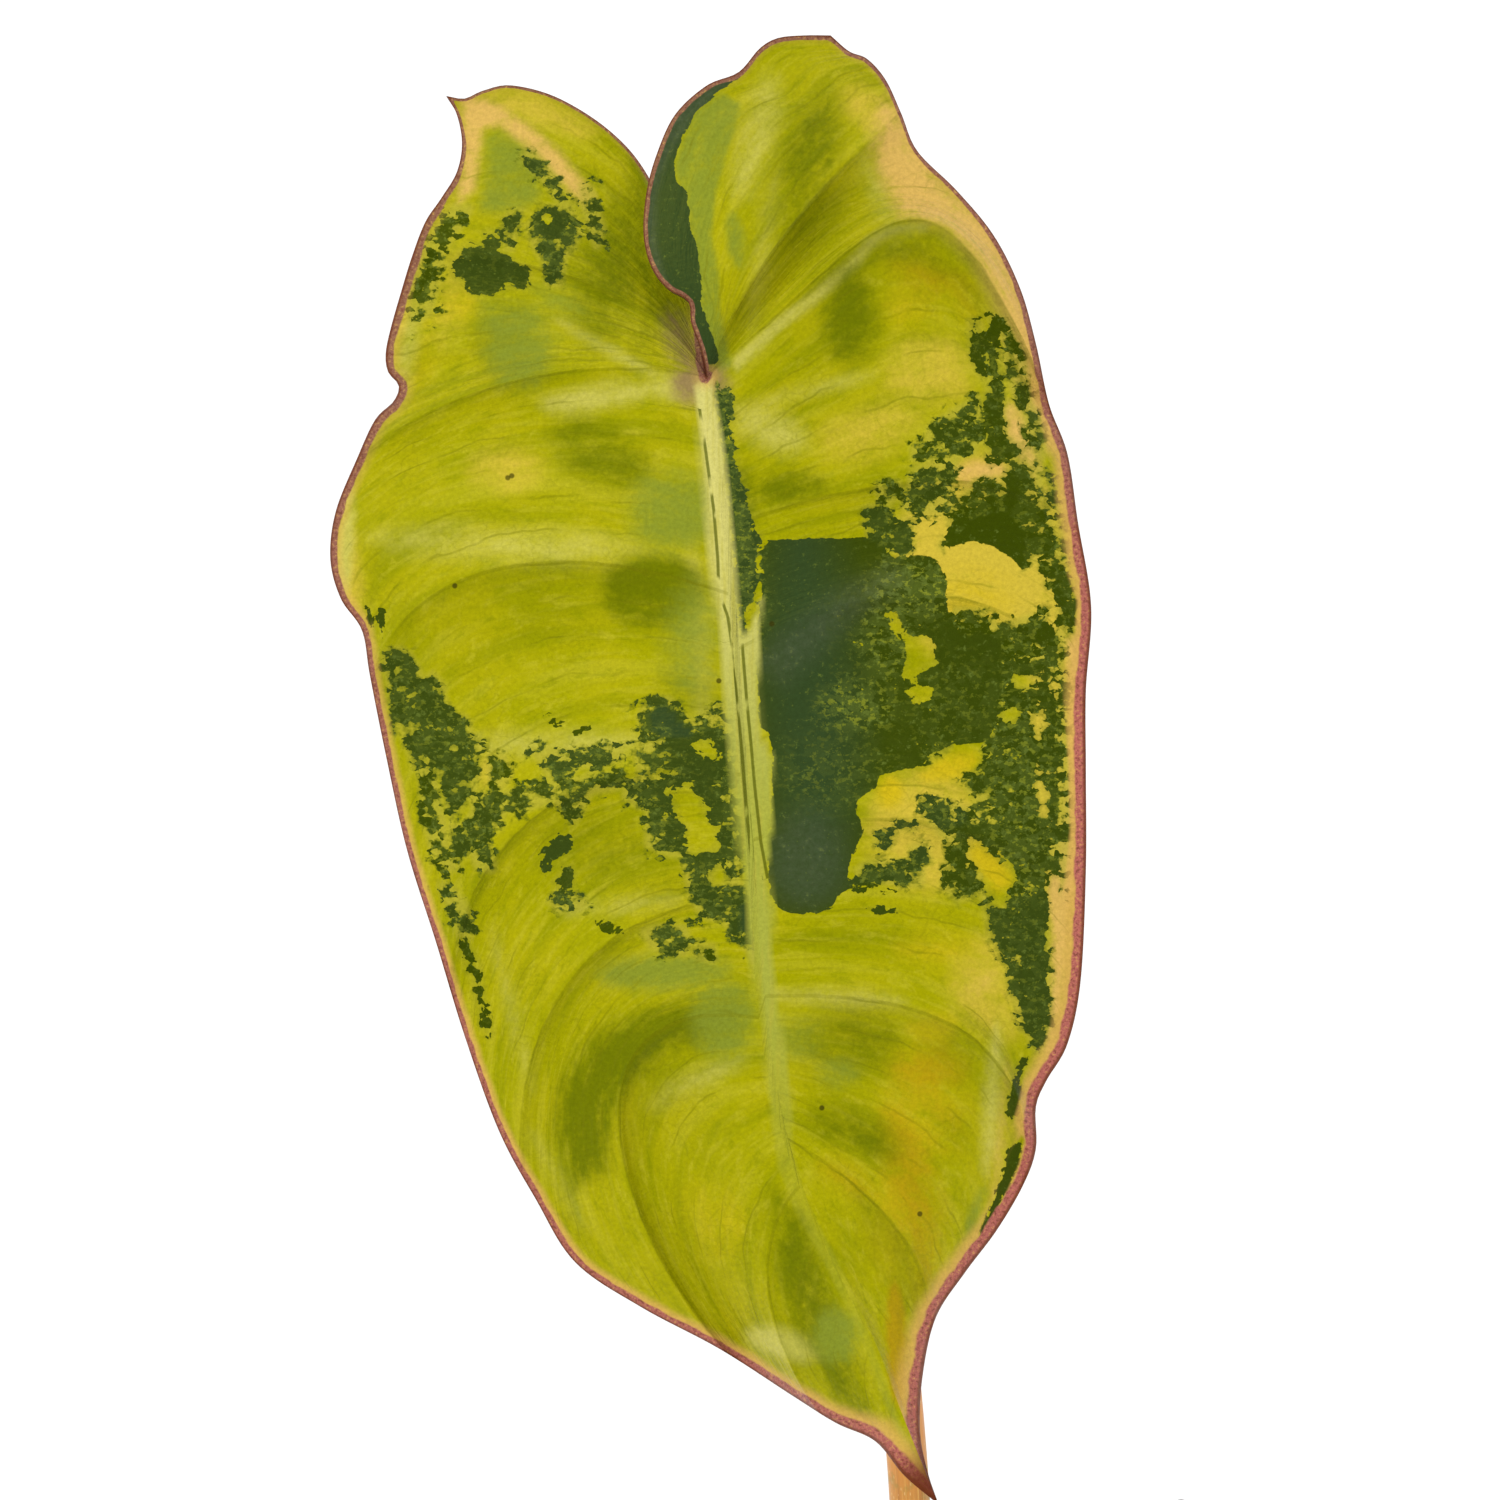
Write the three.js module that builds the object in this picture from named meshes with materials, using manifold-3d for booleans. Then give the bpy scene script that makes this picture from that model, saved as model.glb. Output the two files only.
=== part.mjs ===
// A young variegated philodendron billietiae in a plain clay pot. One large leaf hangs before its
// long petiole, with two smaller leaves, a rolled new leaf, the stem with its aerial roots, and a
// coarse bark mix. Millimetres, +Z up. The origin is the middle of the pot's flat underside.
import * as THREE from "three";
import { mergeVertices } from "three/addons/utils/BufferGeometryUtils.js";
import Module from "manifold-3d";

const wasm = await Module();
wasm.setup();

// Driving dimensions

const SEAT_GAP = 0.3; // between pieces that touch

const POT = {
  height: 120,
  rimRadius: 70,
  rimBand: 24,
  bandStep: 3.5,
  wall: 5,
  footRadius: 49,
  floor: 7,
  edge: 1.5,
  drainRadius: 4,
  drainRing: 28,
  drains: 4,
};

const SOIL = {
  top: 107,
  crown: 0.8, // how far its middle stands above its edge
  bark: 44,
  barkSize: 13,
  perlite: 22,
  perliteSize: 5.5,
  seed: 20,
};

const STEM = {
  path: [[5, 6, 62], [3, 4, 92], [0.5, 1, 118], [-1, -1, 146]],
  radius: 9,
  taper: 1.2,
  scarsAt: [0.62, 0.74, 0.87], // shares of the stem's length that carry a leaf scar
  scarHeight: 0.9,
  scarWidth: 0.02,
};

const ROOTS = {
  radius: 2.3,
  tipRadius: 1.7,
  paths: [
    [[1, 1, 127], [-12, 6, 122], [-22, 13, 110], [-25, 16, 94]],
    [[0, 0, 121], [9, 14, 117], [13, 25, 106], [14, 29, 92]],
    [[1, 1, 119], [-6, -13, 115], [-9, -23, 106], [-10, -27, 93]],
  ],
};

const SHEATH = {
  path: [[-1, -1, 138], [5, 0, 158], [10.5, 1, 178], [13, 1, 190]],
  radii: [5.2, 4.6, 2.2],
  mouth: 0.66, // share of its length at which the rolled leaf comes out
};

const ROLLED_LEAF = {
  radius: 2.3,
  tipRadius: 0.5,
  sunk: 4,
  length: 21,
  lean: -7,
};

const BLADE = {
  thickness: 0.95,
  veinRidge: 0.9, // how far a main lateral vein stands out on the back
  ribTip: 0.55, // radius of the midrib at the drip tip
  ribSunk: 0.38, // share of the midrib's radius that lies within the blade
};

// Behind the blade the petiole's end bends over and becomes the midrib. These points lead from the
// knee's flat lower end up to the blade, in the leaf's own frame and at the large leaf's size.
const KNEE = [[3.2, -7.5, -26], [1.2, 0.5, -17], [0.4, 3.5, -10.5]];
const KNEE_RUN = 22; // straight stretch of the petiole below the knee

// Outline of the large leaf in its own plane, from the point where the petiole meets the blade.
// x runs to the right and y towards the lobes. Each inner margin ends at its lobe's corner, and
// each outer margin runs from that corner down to the drip tip.
const LARGE_PLAN = {
  size: 1,
  midrib: [
    [0, 0], [3, -17.5], [5.5, -42], [7, -65], [9, -89.5], [10.5, -110.5],
    [12.5, -129.5], [16, -146.5], [22.5, -164.5], [31.5, -183], [38, -199], [44, -214],
  ],
  inner: {
    left: [
      [0, 0], [-1, 5.5], [-2, 11.5], [-4.5, 23], [-11, 38], [-18, 46.5],
      [-28, 53], [-37, 55.5], [-42.5, 54.5], [-46, 53], [-49.5, 53.5],
    ],
    right: [
      [0, 0], [-0.5, 3], [-1.5, 6.5], [-3, 10.5], [-3.5, 14.5], [-7.5, 17], [-10.5, 21],
      [-12, 27], [-11.5, 35], [-9.5, 42.5], [-6, 50], [0, 55.5], [6, 58], [10, 62.5],
      [13.5, 64.5], [18.5, 65], [23.5, 65],
    ],
  },
  outer: {
    left: [
      [-49.5, 53.5], [-47.5, 50], [-46.5, 44.5], [-47.5, 39], [-50.5, 34], [-53.5, 29.5],
      [-56, 23], [-58, 16.5], [-60, 9.5], [-61, 4.5], [-60.5, 1], [-58.5, -1.5], [-59.5, -4.5],
      [-63, -8], [-66.5, -15.5], [-70.5, -25.5], [-71.5, -34.5], [-69.5, -42], [-65.5, -48],
      [-64, -56.5], [-61, -71.5], [-57, -89.5], [-51.5, -107], [-46, -125], [-39.5, -143],
      [-32.5, -156], [-25, -168], [-12.5, -176.5], [2.5, -184.5], [16.5, -193.5],
      [24.5, -198.5], [32, -202], [37.5, -208.5], [44, -214],
    ],
    right: [
      [23.5, 65], [27, 62], [30.5, 60.5], [34, 56.5], [37, 50], [40, 43], [47.5, 35.5],
      [54.5, 27], [59.5, 17], [62.5, 6.5], [65, -5], [68.5, -14.5], [70.5, -27.5], [73, -43.5],
      [72, -59.5], [72, -74.5], [72, -93.5], [71, -114.5], [68.5, -126.5], [64.5, -133.5],
      [62.5, -138.5], [62.5, -146.5], [60, -153.5], [55, -162], [49, -170], [43.5, -178.5],
      [41, -189.5], [40.5, -200], [42, -208], [44, -214],
    ],
  },
  // Each main lateral vein: where it leaves the midrib and where it meets the outer margin, as
  // shares of their lengths, the angle that it starts at above square to the midrib, and how far
  // it holds that line and then follows the margin. The first entry is the inner margin itself.
  laterals: {
    left: [
      [0, 0, 120, 0.4, 0], [0, 0.1, 62, 0.4, 0.05], [0, 0.235, 12, 0.4, 0.15],
      [0.19, 0.375, 20, 0.5, 0.3], [0.345, 0.56, 10, 0.5, 0.3], [0.455, 0.68, 4, 0.5, 0.28],
      [0.555, 0.845, 10, 0.68, 0.42], [0.7, 0.91, -45, 0.4, 0.2], [1, 1, -70, 0.33, 0],
    ],
    right: [
      [0, 0, 110, 0.4, 0], [0, 0.07, 72, 0.4, 0.05], [0, 0.27, 40, 0.7, 0.85],
      [0.13, 0.36, 20, 0.45, 0.2], [0.235, 0.47, 30, 0.45, 0.35], [0.4, 0.6, 18, 0.45, 0.2],
      [0.535, 0.775, 2, 0.55, 0.38], [0.66, 0.885, -30, 0.45, 0.2], [1, 1, -65, 0.25, 0],
    ],
  },
  // How far each panel between two laterals sags, from the lobe down to the tip.
  sag: {
    left: [1.5, 2.5, 3, 3.5, 3, 2.5, 5.5, 2],
    right: [2, 3.5, 4.5, 2.5, 3.5, 3, 4, 2],
  },
  arch: 6, // how far the ends of the leaf bend back
  droop: 9, // how far the margins bend back
  lobeLift: { left: -5, right: 7 }, // the right lobe's inner edge lies in front of the left's
  lobeRoll: { left: 0, right: 3 },
  wave: {
    left: { height: 2.2, turns: 2.1, phase: 0.6 },
    right: { height: 1.8, turns: 1.7, phase: 2.4 },
  },
  // The outline is drawn as it looks from this far in front of this point of the leaf's plane.
  seenFrom: { x: 8.2, y: -70.7, distance: 600 },
};

const PLAIN_PLAN = {
  midrib: [[0, 0], [1, -40], [-1, -90], [-2, -140], [0, -185], [2, -214]],
  inner: {
    left: [[0, 0], [-3, 10], [-7, 25], [-14, 40], [-25, 50], [-38, 54]],
    right: [[0, 0], [3, 10], [6, 24], [13, 40], [24, 51], [36, 55]],
  },
  outer: {
    left: [
      [-38, 54], [-52, 46], [-61, 28], [-64, 5], [-62, -20], [-63, -45], [-60, -75],
      [-54, -105], [-45, -135], [-32, -165], [-15, -192], [-4, -206], [2, -214],
    ],
    right: [
      [36, 55], [50, 48], [60, 30], [64, 6], [61, -18], [63, -42], [61, -72],
      [55, -102], [46, -133], [34, -162], [18, -190], [7, -205], [2, -214],
    ],
  },
  laterals: {
    left: [
      [0, 0, 115, 0.4, 0], [0, 0.12, 60, 0.4, 0.1], [0, 0.27, 18, 0.4, 0.2],
      [0.2, 0.42, 18, 0.45, 0.3], [0.38, 0.58, 12, 0.45, 0.3], [0.52, 0.72, 5, 0.45, 0.3],
      [0.66, 0.84, -5, 0.45, 0.3], [0.8, 0.92, -30, 0.4, 0.2], [1, 1, -60, 0.33, 0],
    ],
    right: [
      [0, 0, 115, 0.4, 0], [0, 0.12, 60, 0.4, 0.1], [0, 0.27, 18, 0.4, 0.2],
      [0.17, 0.4, 18, 0.45, 0.3], [0.35, 0.56, 12, 0.45, 0.3], [0.5, 0.71, 5, 0.45, 0.3],
      [0.64, 0.83, -5, 0.45, 0.3], [0.78, 0.915, -30, 0.4, 0.2], [1, 1, -60, 0.33, 0],
    ],
  },
  sag: {
    left: [2, 3, 4, 4, 3.5, 3, 2.5, 1.5],
    right: [2, 3, 4, 4, 3.5, 3, 2.5, 1.5],
  },
  arch: 22,
  droop: 14,
  lobeLift: { left: 2, right: 2 },
  lobeRoll: { left: 0, right: 0 },
  wave: {
    left: { height: 4, turns: 3.2, phase: 0.4 },
    right: { height: 4, turns: 2.9, phase: 2.2 },
  },
};

// Where each leaf hangs: at is the point where the petiole meets the blade. facing is the compass
// turn of the blade's front away from -Y, tilt its lean back from the vertical, and roll its turn
// in its own plane. The petiole starts at foot in the stem and passes through via.
const LEAVES = {
  large: {
    plan: LARGE_PLAN,
    at: [-48, -100, 495],
    facing: 0,
    tilt: 15,
    roll: 0,
    rowsPerPanel: 5,
    columns: 9,
    rib: { sides: 10, steps: 30 },
    knee: 1,
    foot: [-1.5, -1.5, 139],
    via: [[-1, -10, 205], [-11, -27, 300], [-28, -47, 400]],
    petiole: { base: 7.2, body: 4.9, top: 4.4 },
  },
  middle: {
    plan: { ...PLAIN_PLAN, size: 0.62 },
    at: [-10, 84, 352],
    facing: 188,
    tilt: 27,
    roll: -6,
    rowsPerPanel: 3,
    columns: 6,
    rib: { sides: 8, steps: 20 },
    knee: 0.72,
    foot: [0, 2.5, 128],
    via: [[-1, 11, 190], [-4, 29, 250], [-8, 49, 295]],
    petiole: { base: 5.6, body: 3.6, top: 3.1 },
  },
  small: {
    plan: { ...PLAIN_PLAN, size: 0.43 },
    at: [80, -38, 200],
    facing: 68,
    tilt: 34,
    roll: 8,
    rowsPerPanel: 3,
    columns: 5,
    rib: { sides: 8, steps: 16 },
    knee: 0.55,
    foot: [1, 1, 118],
    via: [[24, -9, 147], [50, -20, 168]],
    petiole: { base: 4.2, body: 2.6, top: 2.3 },
  },
};

// Materials

function paint(color, roughness) {
  return new THREE.MeshStandardMaterial({ color, roughness, metalness: 0 });
}

const MATERIALS = {
  blade: paint(0xa7ae22, 0.42),
  petiole: paint(0xd08a3c, 0.45),
  stem: paint(0x6f7a3a, 0.6),
  sheath: paint(0xc98a72, 0.5),
  rolledLeaf: paint(0xc3c24a, 0.42),
  clay: paint(0xb9694a, 0.85),
  soil: paint(0x4a3526, 0.95),
};

// Small helpers

const { clamp, degToRad, lerp, smoothstep } = THREE.MathUtils;

function vector([x, y, z = 0]) {
  return new THREE.Vector3(x, y, z);
}

function spline(points) {
  const curve = new THREE.CatmullRomCurve3(points.map(vector), false, "catmullrom", 0.5);
  curve.arcLengthDivisions = 1200;
  return curve;
}

// A value that goes from the first of three numbers through the second, at middle, to the third.
function threeWay([low, mid, high], middle, share) {
  if (share < middle) return lerp(low, mid, share / middle);
  return lerp(mid, high, (share - middle) / (1 - middle));
}

// A steady stream of numbers from 0 to 1, the same each time.
function randomStream(seed) {
  let state = seed;
  return () => {
    state = (state * 1664525 + 1013904223) % 4294967296;
    return state / 4294967296;
  };
}

// Solids

// A closed geometry as a solid. Corners that lie together become one, and the triangles that this
// leaves with no area, such as those at a pole or a fan's centre, go.
function solidOf(geometry) {
  const bare = geometry.clone();
  bare.deleteAttribute("normal");
  bare.deleteAttribute("uv");
  const merged = mergeVertices(bare, 1e-4);
  const corners = merged.index.array;
  const kept = [];
  for (let i = 0; i < corners.length; i += 3) {
    const [a, b, c] = corners.subarray(i, i + 3);
    if (a !== b && b !== c && a !== c) kept.push(a, b, c);
  }
  const mesh = new wasm.Mesh({
    numProp: 3,
    vertProperties: new Float32Array(merged.attributes.position.array),
    triVerts: new Uint32Array(kept),
  });
  return new wasm.Manifold(mesh);
}

function geometryOf(solid) {
  const mesh = solid.getMesh();
  const positions = new Float32Array(mesh.numVert * 3);
  for (let i = 0; i < mesh.numVert; i++) {
    const start = i * mesh.numProp;
    positions.set(mesh.vertProperties.subarray(start, start + 3), i * 3);
  }
  const geometry = new THREE.BufferGeometry();
  geometry.setAttribute("position", new THREE.BufferAttribute(positions, 3));
  geometry.setIndex(new THREE.BufferAttribute(new Uint32Array(mesh.triVerts), 1));
  geometry.computeVertexNormals();
  return geometry;
}

// The largest body of a solid, without the scraps that a cut or a join leaves.
function mainBody(solid) {
  return solid.decompose().reduce((a, b) => (b.volume() > a.volume() ? b : a));
}

function cut(solid, ...tools) {
  return mainBody(tools.reduce((rest, tool) => rest.subtract(tool), solid));
}

// A round bar along a spline: a cylinder whose rings are laid square to the curve. radiusAt gives
// the radius at a share of its length and an angle round it.
function bar(points, radiusAt, sides, steps) {
  const curve = spline(points);
  const frames = curve.computeFrenetFrames(steps, false);
  const geometry = new THREE.CylinderGeometry(1, 1, 1, sides, steps);
  const place = geometry.attributes.position;
  for (let i = 0; i < place.count; i++) {
    const [x, y, z] = [place.getX(i), place.getY(i), place.getZ(i)];
    const ring = Math.round((y + 0.5) * steps);
    const radius = radiusAt(ring / steps, Math.atan2(z, x));
    const point = curve.getPointAt(ring / steps);
    point.addScaledVector(frames.normals[ring], x * radius);
    point.addScaledVector(frames.binormals[ring], -z * radius);
    place.setXYZ(i, point.x, point.y, point.z);
  }
  return solidOf(geometry);
}

function lathe(profile, segments) {
  const points = profile.map(([radius, z]) => new THREE.Vector2(radius, z));
  return new THREE.LatheGeometry(points, segments).rotateX(Math.PI / 2);
}

// The leaf's surface. A point of it is given by its side, by u, from 0 at the midrib to 1 at the
// margin, and by v, from 0 at the inner margin round to 8 at the tip, with a main lateral vein at
// each whole number.

const SIDES = { left: -1, right: 1 };
const PANELS = 8;
const SAG_SKEW = 0.65; // below 1, a panel is steepest just under its upper vein
const SAG_START = 0.35;
const EDGE_SAG = 0.65; // share of the sag that is left at the margin
const TIP_FLATTENING = 1.2; // panels over which the margins rise to meet the midrib at the tip
const BLADE_MIDDLE = -74;
const BLADE_HALF = 140;
const MARGIN_STEP = 0.02;
const VEIN_SWING = 0.15;

function leafCurves(plan) {
  const curves = { midrib: spline(plan.midrib), inner: {}, outer: {} };
  for (const side in SIDES) {
    curves.inner[side] = spline(plan.inner[side]);
    curves.outer[side] = spline(plan.outer[side]);
  }
  return curves;
}

// The numbers of a lateral at v, between those of its two neighbours.
function lateralAt(laterals, v) {
  const low = Math.min(Math.floor(v), PANELS - 1);
  return laterals[low].map((value, i) => lerp(value, laterals[low + 1][i], v - low));
}

// A point u of the way along the vein at v, which leaves the midrib, bows and nears the margin.
function veinPoint(plan, curves, side, u, v) {
  const [from, to, degrees, hold, follow] = lateralAt(plan.laterals[side], v);
  const outer = curves.outer[side];
  const start = curves.midrib.getPointAt(clamp(from, 0, 1));
  const end = outer.getPointAt(clamp(to, 0, 1));
  const reach = start.distanceTo(end);
  const angle = degToRad(degrees);
  const out = vector([SIDES[side] * Math.cos(angle), Math.sin(angle)]);
  const along = outer.getPointAt(clamp(to - MARGIN_STEP, 0, 1));
  along.sub(outer.getPointAt(clamp(to + MARGIN_STEP, 0, 1))).normalize();
  const first = start.clone().addScaledVector(out, reach * hold);
  const second = end.clone().addScaledVector(along, reach * follow);
  second.addScaledVector(start.clone().sub(end), VEIN_SWING);
  return new THREE.CubicBezierCurve3(start, first, second, end).getPoint(u);
}

// A point of the leaf's plane. The first panel blends from the inner margin to the first vein.
function planPoint(plan, curves, side, u, v) {
  if (v >= 1) return veinPoint(plan, curves, side, u, v);
  const outer = curves.outer[side];
  const share = plan.laterals[side][1][1];
  const corner = outer.getPointAt(0);
  const joint = outer.getPointAt(share);
  const bulge = outer.getPointAt(share * v).sub(corner.lerp(joint, v));
  const point = curves.inner[side].getPointAt(u);
  point.lerp(veinPoint(plan, curves, side, u, 1), v);
  return point.addScaledVector(bulge, u);
}

// How far the leaf's front stands forward of its plane at (u, v).
function relief(plan, side, u, v, y) {
  const panel = Math.min(Math.floor(v), PANELS - 1);
  const lobe = Math.sin(Math.PI * u ** 0.7);
  const { height, turns, phase } = plan.wave[side];
  const ends = smoothstep(v, 0, 1) * smoothstep(PANELS - v, 0, 1);
  const hollow = Math.sin(Math.PI * (v - panel) ** SAG_SKEW) * smoothstep(u, 0, SAG_START);
  let rise = -plan.arch * ((y - BLADE_MIDDLE) / BLADE_HALF) ** 2;
  rise -= plan.droop * u * u * (1 - smoothstep(v, PANELS - TIP_FLATTENING, PANELS));
  rise -= plan.sag[side][panel] * hollow * lerp(1, EDGE_SAG, smoothstep(u, 0.7, 1));
  rise += plan.lobeLift[side] * lobe * (1 - smoothstep(v, 0.5, 1.6));
  rise -= plan.lobeRoll[side] * lobe * Math.max(0, 1 - v / 0.35) ** 2;
  rise += height * Math.sin((2 * Math.PI * turns * v) / PANELS + phase) * u ** 3 * ends;
  return rise;
}

// Lifts a point of the plan to its height, and scales it to the leaf's size. An outline drawn as
// it looks is spread or drawn in so that it still looks the same at that height.
function lift(plan, point, height) {
  if (plan.seenFrom) {
    const { x, y, distance } = plan.seenFrom;
    const spread = (distance - height) / distance;
    point.x = lerp(x, point.x, spread);
    point.y = lerp(y, point.y, spread);
  }
  point.z = height;
  return point.multiplyScalar(plan.size);
}

function frontPoint(plan, curves, side, u, v) {
  const point = planPoint(plan, curves, side, u, v);
  return lift(plan, point, relief(plan, side, u, v, point.y));
}

// The blade as a closed sheet with its main laterals raised on the back. Both faces are split into
// triangles alike, so that they never cross.
function sheetSolid(plan, curves, rowsPerPanel, columns) {
  const rows = rowsPerPanel * PANELS;
  const width = 2 * columns + 1;
  const front = [];
  const back = [];
  for (let row = 0; row <= rows; row++) {
    const v = row / rowsPerPanel;
    const onVein = row % rowsPerPanel === 0 && row > 0;
    for (let column = -columns; column <= columns; column++) {
      const u = Math.abs(column) / columns;
      const side = column < 0 ? "left" : "right";
      const { x, y, z } = frontPoint(plan, curves, side, u, v);
      const ridge = onVein && u > 0 ? BLADE.veinRidge * (1 - 0.85 * u) : 0;
      front.push(x, y, z);
      back.push(x, y, z - BLADE.thickness - ridge);
    }
  }

  const corners = [];
  const behind = front.length / 3;
  const id = (row, column) => row * width + column;
  const face = (a, b, c) => corners.push(a, b, c, behind + a, behind + c, behind + b);
  const edge = (a, b) => corners.push(a, behind + a, b, b, behind + a, behind + b);
  for (let row = 0; row < rows; row++) {
    for (let column = 0; column < width - 1; column++) {
      const [a, b] = [id(row, column), id(row, column + 1)];
      const [c, d] = [id(row + 1, column), id(row + 1, column + 1)];
      if (column < columns) {
        face(a, c, b);
        face(b, c, d);
      } else {
        face(a, c, d);
        face(a, d, b);
      }
    }
    edge(id(row, 0), id(row + 1, 0));
    edge(id(row + 1, width - 1), id(row, width - 1));
  }
  for (let column = 0; column < width - 1; column++) {
    edge(id(0, column + 1), id(0, column));
    edge(id(rows, column), id(rows, column + 1));
  }
  const geometry = new THREE.BufferGeometry();
  geometry.setAttribute("position", new THREE.Float32BufferAttribute([...front, ...back], 3));
  geometry.setIndex(corners);
  return solidOf(geometry);
}

// The leaf's frame: x to its right, y to its lobes and z out of its front.
function leafFrame({ at, facing, tilt, roll }) {
  const frame = new THREE.Matrix4().makeTranslation(...at);
  frame.multiply(new THREE.Matrix4().makeRotationZ(degToRad(facing)));
  frame.multiply(new THREE.Matrix4().makeRotationX(degToRad(90 - tilt)));
  return frame.multiply(new THREE.Matrix4().makeRotationZ(degToRad(roll)));
}

function kneePoints(leaf) {
  return KNEE.map((point) => vector(point).multiplyScalar(leaf.knee));
}

// The blade with its midrib, a bar that tapers down the back from the knee to the tip.
function bladeSolid(leaf) {
  const { plan, rib, petiole } = leaf;
  const curves = leafCurves(plan);
  const path = kneePoints(leaf).map((point) => point.toArray());
  for (const share of [0.03, 0.13, 0.27, 0.42, 0.57, 0.72, 0.86, 0.97]) {
    const radius = lerp(petiole.top, BLADE.ribTip, Math.min(1, share * 1.1));
    const point = curves.midrib.getPointAt(share);
    lift(plan, point, relief(plan, "right", 0, PANELS, point.y));
    point.z -= BLADE.thickness + radius * (1 - BLADE.ribSunk);
    path.push(point.toArray());
  }
  const radiusAt = (share) => lerp(petiole.top, BLADE.ribTip, smoothstep(share, 0.06, 1) ** 0.7);
  const sheet = sheetSolid(plan, curves, leaf.rowsPerPanel, leaf.columns);
  const whole = mainBody(sheet.add(bar(path, radiusAt, rib.sides, rib.steps)));
  return solidOf(geometryOf(whole).applyMatrix4(leafFrame(leaf)));
}

// The petiole runs from the stem to the flat end of the knee, with a shallow groove along it.
function petioleSolid(leaf, grow = 0) {
  const { base, body, top } = leaf.petiole;
  const [end, next] = kneePoints(leaf).map((point) => point.applyMatrix4(leafFrame(leaf)));
  const away = end.clone().sub(next).normalize();
  const upper = end.clone().addScaledVector(away, SEAT_GAP);
  const lower = upper.clone().addScaledVector(away, KNEE_RUN * leaf.knee);
  const radiusAt = (share, angle) => {
    const groove = 0.16 * Math.max(0, Math.cos(angle)) ** 2 * smoothstep(share, 0.02, 0.3);
    const closing = 1 - smoothstep(share, 0.85, 1);
    return threeWay([base, body, top], 0.16, share) * (1 - groove * closing) + grow;
  };
  return bar([leaf.foot, ...leaf.via, lower.toArray(), upper.toArray()], radiusAt, 12, 20);
}

// Stem, roots and new leaf

function stemSolid(grow = 0) {
  const { path, radius, taper, scarsAt, scarHeight, scarWidth } = STEM;
  const scar = (share, at) => scarHeight * Math.exp(-(((share - at) / scarWidth) ** 2));
  const trunkRadius = (share) => {
    const scars = scarsAt.reduce((sum, at) => sum + scar(share, at), 0);
    return radius - taper * share + scars + grow;
  };
  const rootRadius = (share) => lerp(ROOTS.radius, ROOTS.tipRadius, share) + grow;
  const trunk = bar(path, trunkRadius, 14, 20);
  return ROOTS.paths.reduce((whole, root) => whole.add(bar(root, rootRadius, 7, 8)), trunk);
}

function sheathSolid(grow = 0) {
  return bar(SHEATH.path, (share) => threeWay(SHEATH.radii, 0.5, share) + grow, 12, 12);
}

// The rolled leaf slides out of the side of the sheath and leans away from it.
function rolledLeafSolid() {
  const { radius, tipRadius, sunk, length, lean } = ROLLED_LEAF;
  const sheath = spline(SHEATH.path);
  const mouth = sheath.getPointAt(SHEATH.mouth);
  const way = sheath.getTangentAt(SHEATH.mouth);
  const foot = mouth.clone().addScaledVector(way, -sunk);
  const tip = mouth.clone().addScaledVector(way, length);
  tip.x += lean;
  const middle = foot.clone().lerp(tip, 0.5);
  middle.x += lean / 5;
  const path = [foot, middle, tip].map((point) => point.toArray());
  return bar(path, (share) => lerp(radius, tipRadius, share ** 2), 10, 8);
}

// Pot and soil

function outerRadius(z) {
  return lerp(POT.footRadius, POT.rimRadius - POT.bandStep, z / POT.height);
}

function innerRadius(z) {
  return outerRadius(z) - POT.wall;
}

function potSolid() {
  const { height, rimRadius, rimBand, footRadius, floor, edge } = POT;
  const bandFoot = height - rimBand;
  const profile = [
    [0, 0],
    [footRadius - edge, 0],
    [footRadius, edge],
    [outerRadius(bandFoot - 1), bandFoot - 1],
    [rimRadius - edge, bandFoot],
    [rimRadius - 0.6, bandFoot + edge],
    [rimRadius, height - edge],
    [rimRadius - edge, height],
    [innerRadius(height) + edge, height],
    [innerRadius(height), height - edge],
    [innerRadius(floor), floor],
    [0, floor],
  ];
  const holes = [];
  for (let i = 0; i < POT.drains; i++) {
    const angle = ((i + 0.5) / POT.drains) * 2 * Math.PI;
    const drill = new THREE.CylinderGeometry(POT.drainRadius, POT.drainRadius, 3 * floor, 14);
    drill.rotateX(Math.PI / 2);
    drill.translate(POT.drainRing * Math.cos(angle), POT.drainRing * Math.sin(angle), floor / 2);
    holes.push(solidOf(drill));
  }
  return cut(solidOf(lathe(profile, 56)), ...holes);
}

// One bark chip or perlite grain with uneven corners, turned at random and sunk into the mix.
function grainSolid(random, geometry, size, limit) {
  const place = geometry.attributes.position;
  const uneven = new Map();
  for (let i = 0; i < place.count; i++) {
    const corner = new THREE.Vector3().fromBufferAttribute(place, i);
    const key = corner.toArray().map((n) => n.toFixed(3)).join();
    if (!uneven.has(key)) uneven.set(key, 0.72 + 0.5 * random());
    corner.multiplyScalar(uneven.get(key));
    place.setXYZ(i, corner.x, corner.y, corner.z);
  }
  geometry.rotateX((random() - 0.5) * 1.1);
  geometry.rotateY((random() - 0.5) * 1.1);
  geometry.rotateZ(random() * 2 * Math.PI);
  const radius = Math.sqrt(random()) * (limit - size * 0.8);
  const angle = random() * 2 * Math.PI;
  const height = SOIL.top - 0.2 + random() * 1.4;
  geometry.translate(radius * Math.cos(angle), radius * Math.sin(angle), height);
  return solidOf(geometry);
}

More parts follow.
